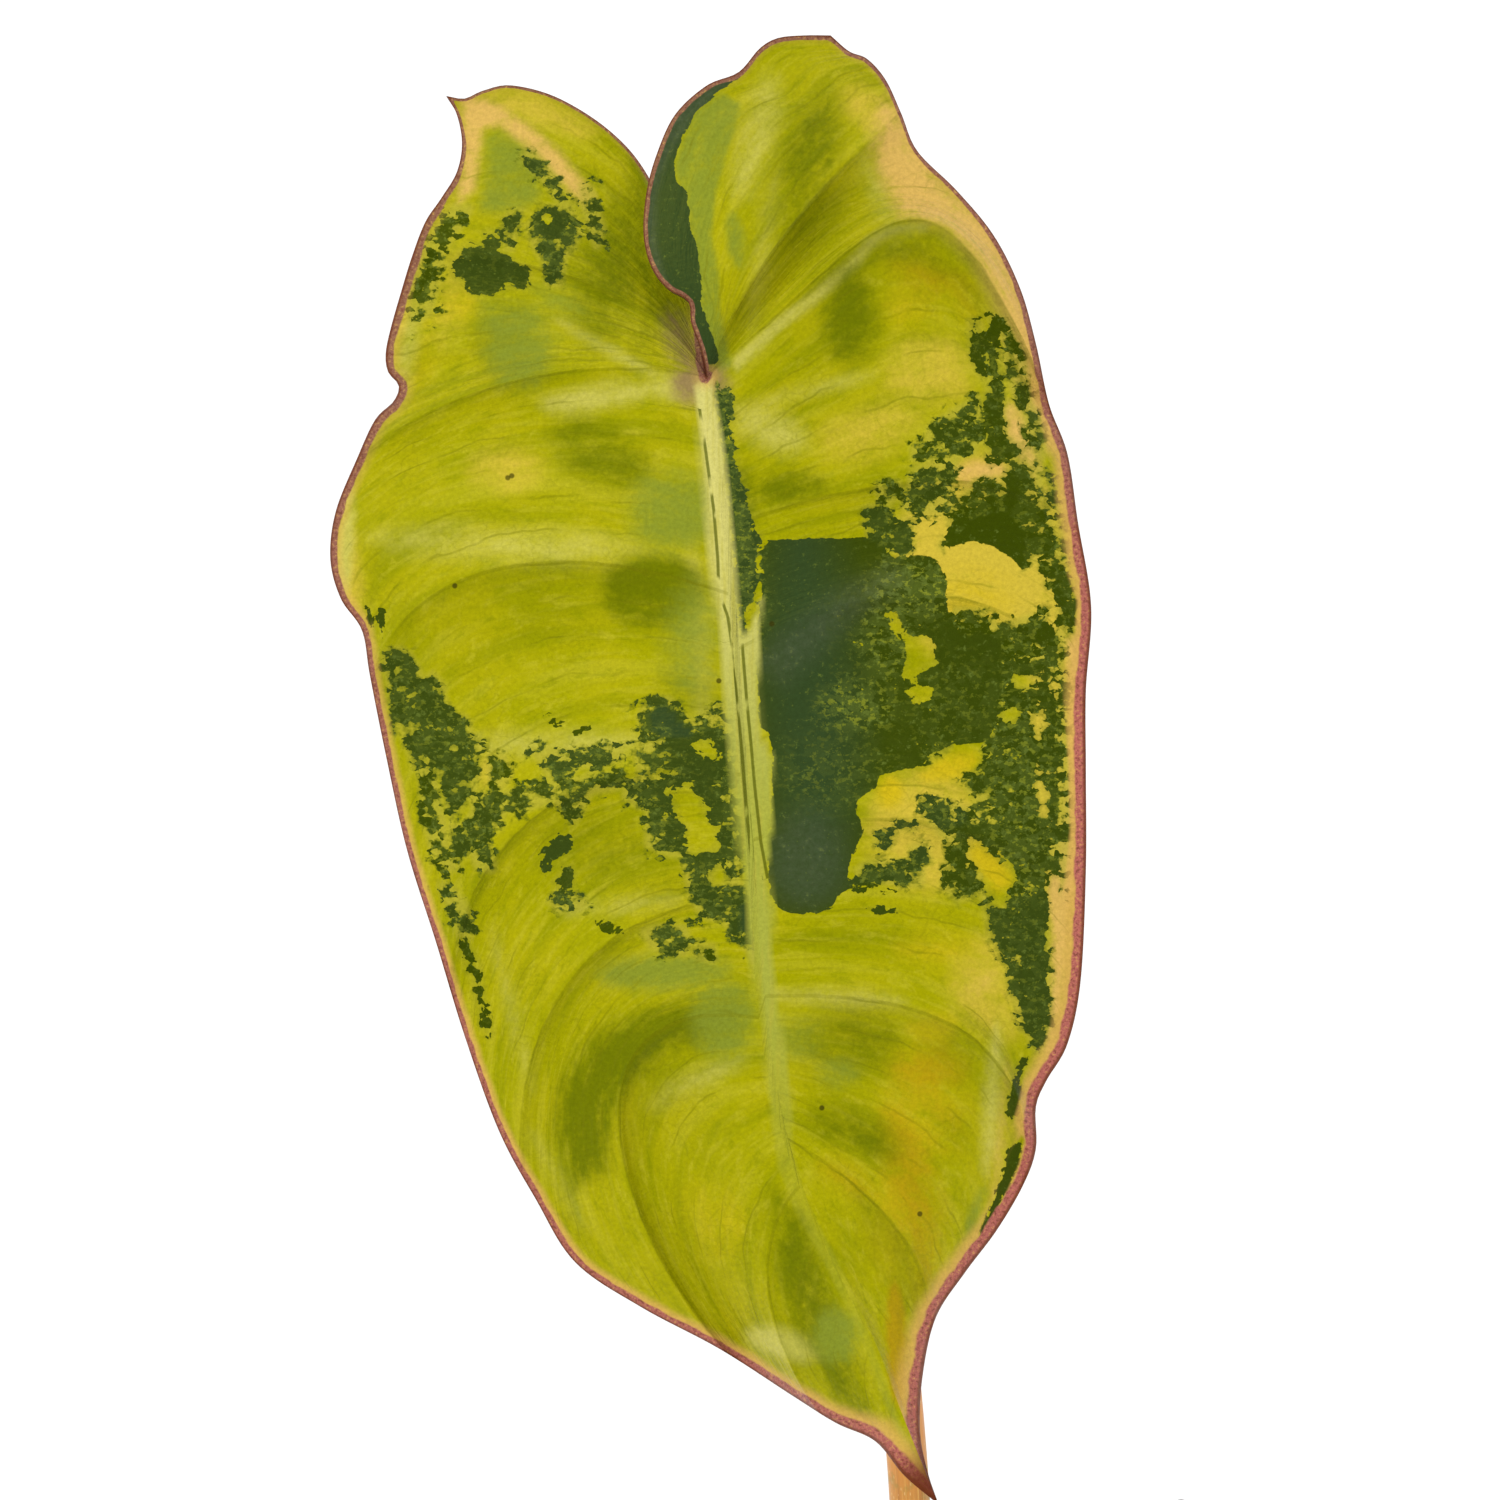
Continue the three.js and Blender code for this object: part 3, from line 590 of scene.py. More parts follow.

# %% [markdown]
# ## The markings of the large leaf
# Variegation isn't a random pattern: each pale or dark patch is one family of cells, so its outline
# is part of this leaf. The patches are outlined with few points, in the picture's own pixels, and
# turned to millimetres on the blade. What lies between is left to noise: each patch also says how
# ragged its edge is, and a very ragged one breaks up into specks.

# %% From the picture to the blade
JOINT_IN_PICTURE = (707, 378)
MM_PER_PIXEL = 0.19


def traced(outline):
    """Points of the picture in millimetres on the blade, from the petiole's joint."""
    x, y = np.array(outline, float).T
    return np.stack([x - JOINT_IN_PICTURE[0], JOINT_IN_PICTURE[1] - y], -1) * MM_PER_PIXEL


def turned(x, y, right, down, lean):
    """Spots about a middle at x and y, turned about it."""
    spots_x = x + right * math.cos(lean) - down * math.sin(lean)
    spots_y = y + right * math.sin(lean) + down * math.cos(lean)
    return np.stack([spots_x, spots_y], -1)


def oval(x, y, half_width, half_height, turn=0):
    """An oval outline, turned clockwise by some degrees."""
    angles = np.radians(np.arange(0, 360, 30))
    right, down = half_width * np.cos(angles), half_height * np.sin(angles)
    return turned(x, y, right, down, math.radians(turn))


def depth_inside(outline, spots):
    """How far spots lie inside an outline. Outside it is below zero."""
    x, y = spots.T
    nearest = np.full(len(spots), np.inf)
    inside = np.zeros(len(spots), bool)
    for (ax, ay), (bx, by) in zip(outline, np.roll(outline, -1, axis=0)):
        way_x, way_y = bx - ax, by - ay
        length = max(way_x**2 + way_y**2, 1e-9)
        share = (((x - ax) * way_x + (y - ay) * way_y) / length).clip(0, 1)
        nearest = np.minimum(nearest, np.hypot(x - ax - share * way_x, y - ay - share * way_y))
        if ay != by:
            crossing = ax + way_x * (y - ay) / way_y
            inside ^= ((ay > y) != (by > y)) & (x < crossing)
    return np.where(inside, nearest, -nearest)


print("the picture's corner lies at", traced([(0, 0)])[0].round(1), "mm")

# %% [markdown]
# The dark patches of the left half. The first number is how ragged a patch is, in millimetres, and
# the second how grey its green is, from 0 for olive to 1.

# %% Dark patches, left half
DARK_LEFT = {
    "lobe_core": (0.7, 0.3, [
        (449, 262), (465, 246), (484, 246), (488, 233), (501, 240), (512, 262), (530, 272),
        (527, 288), (510, 286), (488, 294), (471, 294), (467, 281), (456, 279),
    ]),
    "lobe_arm": (1.0, 0.3, [(500, 242), (508, 216), (520, 212), (511, 250)]),
    "lobe_upper": (1.1, 0.4, [
        (530, 225), (545, 210), (569, 203), (579, 233), (571, 249), (564, 255), (560, 283),
        (549, 283), (545, 262), (534, 244),
    ]),
    "lobe_trail": (1.7, 0.5, [(524, 156), (534, 153), (548, 168), (558, 182), (561, 203), (543, 178)]),
    "lobe_streaks": (2.0, 0.3, [(581, 188), (590, 188), (602, 228), (597, 246), (586, 214)]),
    "lobe_margin": (2.3, 0.0, [
        (454, 208), (470, 208), (460, 226), (447, 244), (440, 262), (430, 312), (412, 322),
        (412, 298), (420, 268), (430, 242),
    ]),
    "fleck_outer": (0.4, 0.0, [(364, 606), (372, 608), (373, 629), (368, 622)]),
    "fleck_inner": (0.4, 0.0, [(378, 610), (386, 611), (383, 636), (379, 628)]),
    "margin_patch": (1.0, 0.25, [
        (383, 655), (401, 650), (411, 658), (424, 682), (433, 675), (443, 686), (441, 693),
        (452, 716), (465, 718), (471, 734), (484, 751), (473, 756), (478, 769), (476, 781),
        (464, 801), (453, 812), (446, 800), (443, 776), (428, 761), (423, 772), (416, 767),
        (406, 741), (398, 719), (394, 736), (391, 689),
    ]),
    "margin_streak": (1.6, 0.0, [
        (421, 769), (432, 772), (437, 793), (443, 820), (447, 848), (458, 868), (446, 868),
        (433, 850), (426, 820),
    ]),
    "cluster": (1.2, 0.2, [
        (450, 826), (463, 829), (473, 814), (503, 806), (499, 826), (489, 828), (484, 838),
        (491, 853), (493, 869), (480, 868), (470, 848), (466, 853), (455, 854),
    ]),
    "band": (1.5, 0.2, [
        (471, 793), (493, 796), (519, 791), (546, 786), (582, 780), (604, 775), (621, 774),
        (622, 786), (589, 791), (584, 803), (574, 821), (566, 809), (553, 800), (536, 805),
        (506, 810), (478, 822),
    ]),
    "upper_band": (1.7, 0.5, [
        (534, 749), (560, 752), (587, 749), (620, 748), (620, 757), (596, 767), (579, 764),
        (566, 777), (553, 780), (545, 769),
    ]),
    "hairline_1": (0.5, 0.0, [(545, 714), (558, 718), (572, 722), (556, 729)]),
    "hairline_2": (0.5, 0.0, [(574, 732), (592, 727), (588, 733), (576, 737)]),
    "ochre_specks": (1.7, 0.0, [(490, 762), (504, 759), (509, 775), (494, 789)]),
    "blob_upper": (0.5, 0.4, [
        (548, 845), (559, 834), (569, 836), (572, 849), (566, 856), (552, 861), (554, 873),
        (544, 874), (538, 863),
    ]),
    "blob_middle": (0.7, 0.2, [(566, 867), (571, 869), (573, 889), (566, 893), (553, 882), (562, 874)]),
    "blob_lower": (1.4, 0.5, [(551, 902), (559, 894), (582, 899), (584, 903), (572, 909), (559, 909)]),
    "oval_ring": (0.5, 0.0, [(596, 922), (612, 921), (627, 932), (619, 936), (604, 932)]),
    "low_fragments": (1.5, 0.3, [
        (644, 932), (656, 928), (684, 928), (689, 943), (684, 953), (667, 951), (652, 945),
    ]),
    "low_specks": (1.0, 0.0, [(694, 945), (713, 947), (713, 960), (696, 955)]),
    "tail_specks": (1.9, 0.2, [
        (441, 884), (450, 889), (463, 902), (468, 919), (471, 932), (463, 934), (455, 919),
    ]),
    "tail": (0.7, 0.0, [
        (456, 937), (462, 937), (473, 952), (480, 972), (483, 996), (489, 1020), (491, 1037),
        (483, 1030), (480, 1011), (476, 990), (470, 975), (463, 955),
    ]),
    "rib_patch": (1.5, 0.35, [
        (640, 714), (656, 700), (669, 700), (686, 721), (700, 725), (711, 710), (722, 706),
        (725, 725), (731, 739), (734, 775), (739, 804), (740, 848), (737, 880), (747, 893),
        (753, 928), (754, 959), (748, 947), (737, 936), (725, 920), (707, 917), (699, 909),
        (692, 895), (684, 855), (667, 853), (649, 844), (649, 809), (637, 804), (626, 796),
        (627, 788), (642, 777), (637, 756), (646, 737),
    ]),
    "rib_patch_grey": (0.3, 1.0, [
        (644, 716), (657, 704), (671, 706), (684, 722), (697, 730), (694, 738), (650, 737),
    ]),
    "rib_patch_foot": (0.4, 0.9, [(740, 905), (748, 900), (754, 930), (754, 950), (741, 930)]),
}
print(len(DARK_LEFT), "dark patches on the left")

# %% [markdown]
# The right half has the one clean block beside the midrib, and a ragged field between it and the
# margin. The stripe beside the midrib and the strip along the inner margin are clean too.

# %% Dark patches, right half
DARK_RIGHT = {
    "block": (0.25, 0.1, [
        (765, 542), (806, 538), (839, 538), (866, 537), (880, 545), (893, 556), (922, 556),
        (937, 560), (947, 576), (947, 612), (965, 625), (990, 628), (1006, 640), (1008, 665),
        (998, 720), (990, 742), (972, 744), (954, 745), (931, 759), (914, 769), (879, 775),
        (876, 788), (859, 800), (856, 811), (864, 830), (856, 850), (849, 863), (849, 889),
        (839, 896), (830, 909), (815, 913), (791, 913), (778, 908), (772, 898), (767, 868),
        (766, 835), (771, 830), (773, 760), (771, 736), (760, 727), (756, 653), (762, 586),
        (763, 547),
    ]),
    "rib_stripe": (0.6, 0.7, [
        (717, 381), (735, 397), (732, 429), (740, 470), (749, 507), (752, 528), (761, 537),
        (756, 560), (758, 580), (753, 603), (747, 612), (748, 635), (743, 640), (737, 612),
        (734, 566), (729, 507), (722, 452), (715, 395),
    ]),
    "inner_strip": (0.2, 0.9, [
        (748, 72), (716, 94), (697, 112), (686, 128), (674, 162), (676, 180), (688, 194),
        (690, 228), (698, 250), (701, 280), (702, 308), (714, 340), (721, 364), (706, 366),
        (684, 330), (678, 306), (650, 276), (640, 240), (640, 190), (652, 146), (680, 104),
        (712, 74),
    ]),
    "upper_column": (0.8, 0.0, [(970, 323), (981, 322), (986, 345), (985, 380), (973, 362)]),
    "upper_column_2": (0.6, 0.0, [(988, 314), (998, 313), (1003, 330), (1003, 346), (990, 345)]),
    "upper_edge": (1.1, 0.0, [
        (1003, 324), (1022, 362), (1032, 404), (1022, 406), (1013, 387), (1003, 352),
    ]),
    "column_link": (0.9, 0.0, [(984, 340), (998, 348), (1004, 402), (986, 410), (990, 370)]),
    "column": (0.8, 0.0, [
        (984, 397), (1002, 393), (1006, 435), (1022, 446), (1021, 460), (989, 460), (984, 430),
    ]),
    "upper_specks": (1.9, 0.1, [
        (933, 425), (956, 411), (978, 398), (984, 430), (972, 452), (939, 457), (926, 440),
    ]),
    "upper_specks_2": (1.5, 0.0, [(914, 446), (940, 444), (960, 452), (940, 462), (914, 459)]),
    "edge_specks": (1.3, 0.0, [(1026, 406), (1041, 410), (1043, 440), (1040, 458), (1030, 440)]),
    "edge_specks_2": (1.7, 0.2, [
        (1036, 468), (1048, 474), (1058, 516), (1067, 560), (1060, 562), (1046, 520),
    ]),
    "mixed_zone": (2.2, 0.2, [
        (913, 473), (956, 460), (949, 486), (951, 509), (923, 513), (905, 506),
    ]),
    "shoulder": (0.9, 0.0, [
        (969, 486), (986, 478), (1006, 479), (1007, 460), (1026, 460), (1036, 483), (1044, 506),
        (1054, 539), (1061, 561), (1077, 601), (1075, 634), (1062, 635), (1057, 607),
        (1044, 576), (1041, 556), (1022, 569), (1006, 556), (994, 548), (978, 546), (956, 548),
        (946, 552), (940, 546), (950, 526), (949, 518), (953, 506), (969, 496),
    ]),
    "blob": (0.9, 0.3, [
        (868, 508), (888, 506), (890, 521), (913, 521), (911, 539), (913, 552), (903, 558),
        (867, 540),
    ]),
    "blob_specks": (1.3, 0.0, [(878, 486), (898, 484), (900, 494), (884, 504)]),
    "below_island": (1.5, 0.0, [
        (943, 619), (956, 611), (989, 612), (996, 629), (1022, 620), (1046, 614), (1062, 640),
        (1060, 662), (1010, 664), (990, 640), (950, 640),
    ]),
    "right_field": (2.6, 0.1, [
        (1000, 655), (1030, 645), (1056, 640), (1063, 700), (1068, 760), (1070, 830),
        (1064, 880), (1048, 900), (1030, 893), (1013, 903), (996, 915), (985, 903), (979, 873),
        (958, 850), (940, 832), (975, 806), (985, 790), (968, 778), (990, 745), (1000, 700),
    ]),
    "field_core": (1.1, 0.1, [
        (984, 752), (1030, 742), (1042, 760), (1036, 800), (1020, 812), (985, 808), (968, 785),
    ]),
    "yellow_area_specks": (1.7, 0.5, [
        (921, 800), (945, 802), (972, 812), (980, 830), (950, 836), (930, 822),
    ]),
    "low_blob_1": (0.9, 0.6, [(878, 831), (893, 833), (890, 847), (876, 845)]),
    "low_blob_2": (0.8, 0.5, [(896, 822), (917, 820), (916, 828), (898, 829)]),
    "low_blob_3": (1.0, 0.5, [(912, 848), (926, 844), (930, 862), (914, 866)]),
    "low_blob_4": (1.2, 0.4, [(862, 866), (884, 862), (922, 864), (921, 884), (886, 886), (852, 884)]),
    "low_line": (0.5, 0.0, [(850, 887), (894, 886), (894, 892), (850, 893)]),
    "low_oval": (0.5, 0.2, oval(885, 910, 16, 4)),
    "low_column": (1.0, 0.1, [
        (949, 838), (965, 845), (975, 868), (984, 890), (958, 900), (945, 886), (947, 855),
    ]),
    "margin_band": (0.9, 0.3, [
        (984, 901), (1000, 908), (1013, 894), (1034, 880), (1052, 868), (1050, 900), (1047, 945),
        (1050, 980), (1050, 1026), (1042, 1048), (1032, 1048), (1031, 1034), (1020, 1026),
        (1018, 1010), (1011, 994), (1007, 964), (991, 940),
    ]),
    "margin_piece": (0.6, 0.1, [
        (1018, 1066), (1026, 1060), (1023, 1079), (1019, 1101), (1012, 1125), (1007, 1122),
        (1010, 1095),
    ]),
    "margin_wedge": (0.4, 0.1, [
        (1011, 1149), (1022, 1135), (1025, 1140), (1019, 1165), (1007, 1192), (991, 1224),
        (979, 1243), (980, 1229), (994, 1197), (1002, 1173),
    ]),
}
print(len(DARK_RIGHT), "dark patches on the right")

# %% [markdown]
# Light islands lie inside the dark patches. Each is taken out of them, with its own raggedness.

# %% Light islands
LIGHT_ISLANDS = {
    "lobe_hole": (0.4, oval(549, 219, 4, 5)),
    "rib_patch_top_hole": (0.6, [(686, 742), (713, 740), (722, 759), (706, 760), (700, 750)]),
    "rib_patch_hole": (0.7, [
        (665, 790), (690, 786), (702, 798), (707, 813), (718, 828), (717, 848), (707, 853),
        (692, 853), (684, 844), (686, 828), (677, 817),
    ]),
    "rib_patch_left_hole": (0.9, [(655, 765), (675, 765), (677, 775), (656, 777)]),
    "rib_patch_low_hole": (0.9, [(711, 868), (727, 862), (730, 880), (719, 890), (710, 886)]),
    "rib_patch_pale": (1.2, [(640, 738), (652, 739), (650, 752), (640, 751)]),
    "orange": (0.5, [
        (953, 489), (959, 473), (973, 463), (986, 460), (1002, 463), (1007, 479), (989, 476),
        (973, 483), (963, 493),
    ]),
    "upper_yellow": (0.3, [
        (913, 523), (932, 514), (944, 512), (950, 524), (946, 536), (934, 542), (912, 549),
    ]),
    "great": (0.2, [
        (938, 558), (952, 547), (972, 542), (990, 545), (1010, 557), (1029, 576), (1039, 594),
        (1036, 605), (1022, 619), (1006, 619), (996, 629), (989, 612), (956, 610), (948, 604),
        (948, 579), (943, 566),
    ]),
    "great_strip": (0.5, [
        (1029, 576), (1041, 566), (1047, 584), (1057, 605), (1059, 627), (1054, 632),
        (1046, 612), (1039, 596),
    ]),
    "margin_yellow": (1.0, [
        (1040, 446), (1048, 470), (1062, 530), (1064, 556), (1052, 530), (1042, 490),
    ]),
    "green_1": (0.6, [
        (889, 615), (893, 633), (906, 643), (906, 679), (916, 681), (922, 669), (941, 663),
        (931, 636), (919, 639), (906, 633), (899, 616),
    ]),
    "green_2": (0.6, [(896, 689), (907, 691), (916, 702), (931, 707), (932, 689), (919, 684)]),
    "field_1": (0.8, [(1007, 669), (1039, 676), (1037, 688), (1019, 690)]),
    "field_2": (0.8, [(1000, 710), (1023, 704), (1023, 714), (1013, 724), (1002, 720)]),
    "field_3": (0.8, [(1031, 716), (1049, 706), (1047, 722), (1037, 743), (1031, 730)]),
    "field_4": (0.8, [(1050, 678), (1062, 682), (1060, 700), (1053, 702)]),
    "field_5": (0.8, [(1036, 763), (1044, 780), (1049, 824), (1038, 800)]),
    "sandy": (0.9, [
        (921, 765), (937, 755), (951, 745), (978, 745), (990, 755), (978, 773), (964, 780),
        (962, 792), (933, 786), (931, 773),
    ]),
    "wedge": (0.7, [
        (968, 835), (994, 853), (1007, 865), (1019, 876), (1011, 894), (1002, 906), (990, 898),
        (980, 873), (968, 857),
    ]),
    "margin_cream": (0.7, [(1047, 871), (1060, 873), (1065, 894), (1064, 920), (1049, 920)]),
}
print(len(LIGHT_ISLANDS), "light islands")

# %% [markdown]
# Under the dark layer the leaf isn't one yellow either. Soft tones lie over it: olive for thicker
# green parts, and as painted shade in the hollows under arched veins and beside the overlapping
# lobe; sage where a thin layer of green cells lies under clear ones; pale near the main veins, with
# painted highlights on lit spots and crests; butter and peach where there is hardly any green; ochre
# low on the right; and a painted sheen, a reflection, over part of the dark block. The numbers are
# a tone's strength and how softly it ends, in millimetres.

# %% Soft tones
TONES = {
    "olive": [
        (0.7, 7, oval(612, 270, 44, 84, 14)), (0.5, 4, oval(652, 300, 20, 70, 14)),
        (0.9, 4, oval(652, 592, 54, 42)), (0.35, 9, oval(520, 612, 90, 34)),
        (0.5, 7, oval(690, 690, 40, 30)), (0.7, 6, oval(600, 455, 60, 36, 20)),
        (0.7, 7, oval(512, 346, 40, 50, -10)), (1.0, 5, oval(740, 500, 20, 34)),
        # painted contact shadow on the left lobe, beside the overlapping right lobe
        (0.9, 6, [
            (636, 140), (656, 190), (650, 240), (660, 282), (688, 315), (704, 362), (682, 352),
            (648, 314), (628, 262), (628, 200),
        ]),
        (0.7, 5, [
            (831, 83), (846, 102), (846, 141), (838, 172), (812, 200), (782, 196), (766, 176),
            (778, 140), (800, 106),
        ]),
        (0.55, 7, oval(806, 208, 46, 52, 24)),
        # painted shade in the hollow under the right lobe's arched vein
        (0.95, 5, [
            (840, 266), (858, 262), (874, 290), (880, 330), (868, 360), (846, 368), (824, 350),
            (822, 306),
        ]),
        # the second: painted shade under the arch of the right lobe's upper vein
        (1.0, 4, oval(790, 488, 38, 17, -5)), (0.75, 6, [
            (884, 240), (924, 240), (958, 256), (984, 292), (996, 330), (976, 320), (950, 284),
            (920, 268), (880, 268), (850, 290), (856, 262),
        ]),
        # painted shade in the hollow under the lower left arched vein
        (1.0, 6, [
            (742, 994), (684, 1000), (632, 1014), (587, 1040), (560, 1083), (554, 1130),
            (572, 1190), (608, 1170), (612, 1120), (636, 1080), (680, 1052), (740, 1040),
        ]),
        (0.55, 6, oval(850, 1040, 66, 44)), (0.7, 5, oval(856, 1132, 56, 24, 24)),
        (0.9, 6, [
            (772, 1186), (802, 1212), (828, 1270), (846, 1330), (866, 1400), (884, 1440),
            (862, 1432), (824, 1384), (790, 1330), (772, 1260),
        ]),
        (0.4, 7, oval(666, 880, 66, 34)), (0.5, 7, oval(600, 850, 74, 44)),
        (0.45, 6, oval(905, 1290, 14, 60, 6)), (0.5, 6, oval(860, 935, 70, 14)),
    ],
    "sage": [
        (0.75, 2.6, [
            (484, 134), (501, 129), (532, 149), (545, 168), (540, 199), (522, 214), (501, 216),
            (478, 212), (484, 180),
        ]),
        (0.7, 4, [(478, 300), (540, 304), (562, 340), (540, 390), (500, 392), (480, 350)]),
        (0.6, 5, oval(560, 300, 34, 18, 30)), (0.8, 5, oval(672, 512, 48, 44)),
        (0.7, 6, oval(690, 640, 30, 60)), (0.9, 3.5, oval(664, 972, 70, 20, -3)),
        (0.9, 3, oval(836, 1336, 24, 30)), (0.5, 5, oval(792, 1040, 38, 30)),
        (0.8, 4, oval(724, 1020, 36, 44)), (0.8, 2, oval(976, 1212, 8, 28, 20)),
        (0.8, 1.2, [
            (722, 92), (694, 112), (682, 140), (672, 166), (684, 196), (690, 240), (698, 286),
            (702, 330), (718, 374), (733, 366), (723, 320), (719, 270), (713, 236), (716, 196),
            (732, 140), (744, 106),
        ]),
        (0.8, 2, oval(736, 240, 10, 30, -8)), (0.7, 4, oval(838, 1072, 24, 16)),
    ],
    "pale": [
        # the first: a painted highlight on the left lobe beside the joint
        (0.9, 4, oval(596, 398, 56, 13, -8)), (0.8, 4, oval(676, 388, 34, 13, 5)),
        # the last: a painted highlight right of the midrib
        (0.8, 2.5, oval(620, 356, 76, 6, 30)), (0.8, 5, oval(770, 430, 40, 20, 24)),
        (0.6, 5, oval(756, 138, 22, 70, 14)), (0.5, 5, oval(764, 250, 12, 90, 10)),
        # the second: a pale vein with a painted highlight on its lit crest, from the joint to the arch
        (0.6, 4, oval(812, 390, 70, 8, -14)), (1.0, 2, [
            (730, 362), (780, 318), (820, 288), (846, 264), (868, 238), (890, 226), (926, 225),
            (926, 232), (892, 234), (874, 246), (856, 268), (826, 296), (784, 327), (738, 370),
        ]),
        (0.9, 2, oval(346, 545, 9, 66, 3)), (0.6, 3, oval(408, 350, 12, 46, 10)),
        (0.7, 5, oval(698, 640, 12, 100, -4)), (0.7, 5, oval(560, 744, 110, 14)),
        (1.0, 3, oval(786, 1344, 42, 15, 15)), (0.5, 4, oval(512, 1010, 10, 90, -14)),
        (0.8, 4, oval(836, 998, 70, 8, 3)), (0.8, 3, oval(992, 1100, 9, 80, 4)),
        (0.5, 5, oval(560, 1180, 10, 60, -30)), (0.75, 7, oval(510, 546, 140, 16, 3)),
        (0.7, 5, oval(620, 905, 60, 7, -6)), (0.6, 5, oval(700, 1080, 60, 14, -30)),
        (0.5, 5, oval(880, 200, 14, 50, -20)),
    ],
    "butter": [
        (1.0, 6, oval(985, 560, 90, 110)), (0.6, 6, oval(930, 372, 52, 40)),
        (1.0, 4, oval(1052, 720, 24, 210)), (0.8, 6, oval(930, 830, 66, 64)),
        (0.8, 4, oval(540, 112, 60, 15, 22)), (0.7, 4, oval(870, 110, 34, 20, 30)),
        (0.8, 3, oval(395, 345, 8, 60, 12)), (0.6, 5, oval(1005, 985, 60, 60)),
        (0.7, 4, oval(492, 772, 20, 16)), (0.8, 3, oval(350, 590, 14, 100, -6)),
        (0.7, 6, oval(505, 470, 40, 24)), (0.5, 6, oval(450, 300, 20, 60, 10)),
        (0.6, 6, oval(870, 430, 60, 30, -20)),
    ],
    "peach": [
        (1.0, 5, [
            (884, 104), (906, 120), (942, 184), (988, 224), (1024, 290), (1048, 350),
            (1062, 430), (1046, 450), (1028, 420), (1010, 352), (994, 300), (974, 258),
            (944, 228), (900, 214), (880, 176), (874, 140),
        ]),
        (1.0, 2.5, [
            (462, 98), (486, 100), (522, 120), (560, 152), (594, 196), (588, 208), (556, 180),
            (524, 146), (500, 126), (484, 128), (480, 160), (474, 190), (458, 204), (462, 160),
        ]),
        (1.0, 2, [
            (1066, 640), (1084, 636), (1082, 720), (1080, 850), (1070, 920), (1062, 1000),
            (1050, 1060), (1044, 1050), (1050, 1000), (1052, 900), (1066, 800), (1070, 700),
        ]),
        (0.5, 5, oval(982, 986, 20, 11, -35)), (1.0, 1.5, oval(1058, 898, 10, 34)),
        (0.9, 3, oval(980, 472, 30, 12, -8)), (0.9, 3, oval(1022, 440, 14, 40, -20)),
        (0.6, 4, oval(1000, 1130, 9, 70, 6)),
    ],
    "gold": [
        (1.0, 3, oval(990, 866, 30, 16, 50)), (1.0, 2.5, oval(890, 792, 14, 16)),
        (0.8, 3, oval(950, 768, 34, 14, -20)), (0.6, 4, oval(930, 1030, 30, 20)),
        (0.6, 6, oval(935, 948, 44, 16)), (0.5, 6, oval(970, 600, 50, 40)),
        (0.6, 5, oval(460, 306, 22, 18)), (0.35, 9, oval(716, 1220, 54, 56, -30)),
        (0.5, 6, oval(914, 1100, 40, 66, -10)), (0.5, 6, oval(890, 1230, 30, 60)),
        (0.4, 6, oval(420, 360, 24, 60, 8)), (0.6, 6, oval(968, 300, 16, 34, -24)),
        (0.5, 7, oval(912, 308, 34, 30)),
    ],
    "ochre": [
        (0.6, 5, oval(930, 1070, 44, 30)), (0.65, 6, oval(912, 1180, 30, 84, -12)),
        (0.35, 7, oval(950, 1110, 40, 60)), (1.3, 2, oval(897, 1345, 9, 62, -2)),
        (0.6, 5, oval(925, 1250, 18, 60, 8)), (0.5, 5, oval(850, 1180, 40, 20, 30)),
        (0.6, 6, oval(930, 276, 48, 20, 14)), (0.7, 5, oval(985, 470, 34, 14, -10)),
    ],
    "rose": [
        (1.0, 4, oval(700, 384, 28, 22)), (0.7, 5, oval(684, 350, 18, 44, -20)),
    ],
    "grey": [
        (1.0, 8, oval(810, 700, 52, 200, -3)), (0.8, 4, oval(810, 860, 44, 50)),
    ],
    # Painted sheen: a reflection painted grey over the dark block, and a painted highlight along the
    # right lobe's rolled inner margin.
    "painted_sheen": [
        (0.8, 4, [(757, 662), (781, 638), (839, 593), (893, 569), (900, 582), (850, 620), (785, 680)]),
        (0.7, 5, oval(806, 860, 38, 46)), (1.0, 1, [
            (744, 70), (700, 88), (668, 122), (650, 162), (642, 210), (650, 270), (672, 304),
            (684, 330), (678, 300), (664, 276), (656, 240), (656, 196), (668, 156), (690, 122),
            (718, 92),
        ]),
    ],
    "worn": [
        (1.0, 4, oval(912, 590, 44, 32)), (1.0, 4, oval(858, 706, 36, 26)),
        (0.7, 4, oval(1020, 800, 40, 110)), (1.0, 3, oval(722, 430, 18, 56, -6)),
        (0.8, 3, oval(886, 640, 30, 40)), (0.5, 4, oval(430, 720, 34, 60, -20)),
        (0.35, 6, oval(960, 700, 54, 44)), (0.4, 6, oval(840, 770, 60, 30)),
        (0.8, 3, oval(744, 560, 16, 90, -8)),
    ],
}
print(sum(len(spots) for spots in TONES.values()), "soft tones")

# %% [markdown]
# The midrib shows as a pale band, a little to the left of the true rib in its upper half. Two dark
# hairlines run down it, each given by where it crosses a few heights of the picture. A few dry
# specks are given by their places alone.

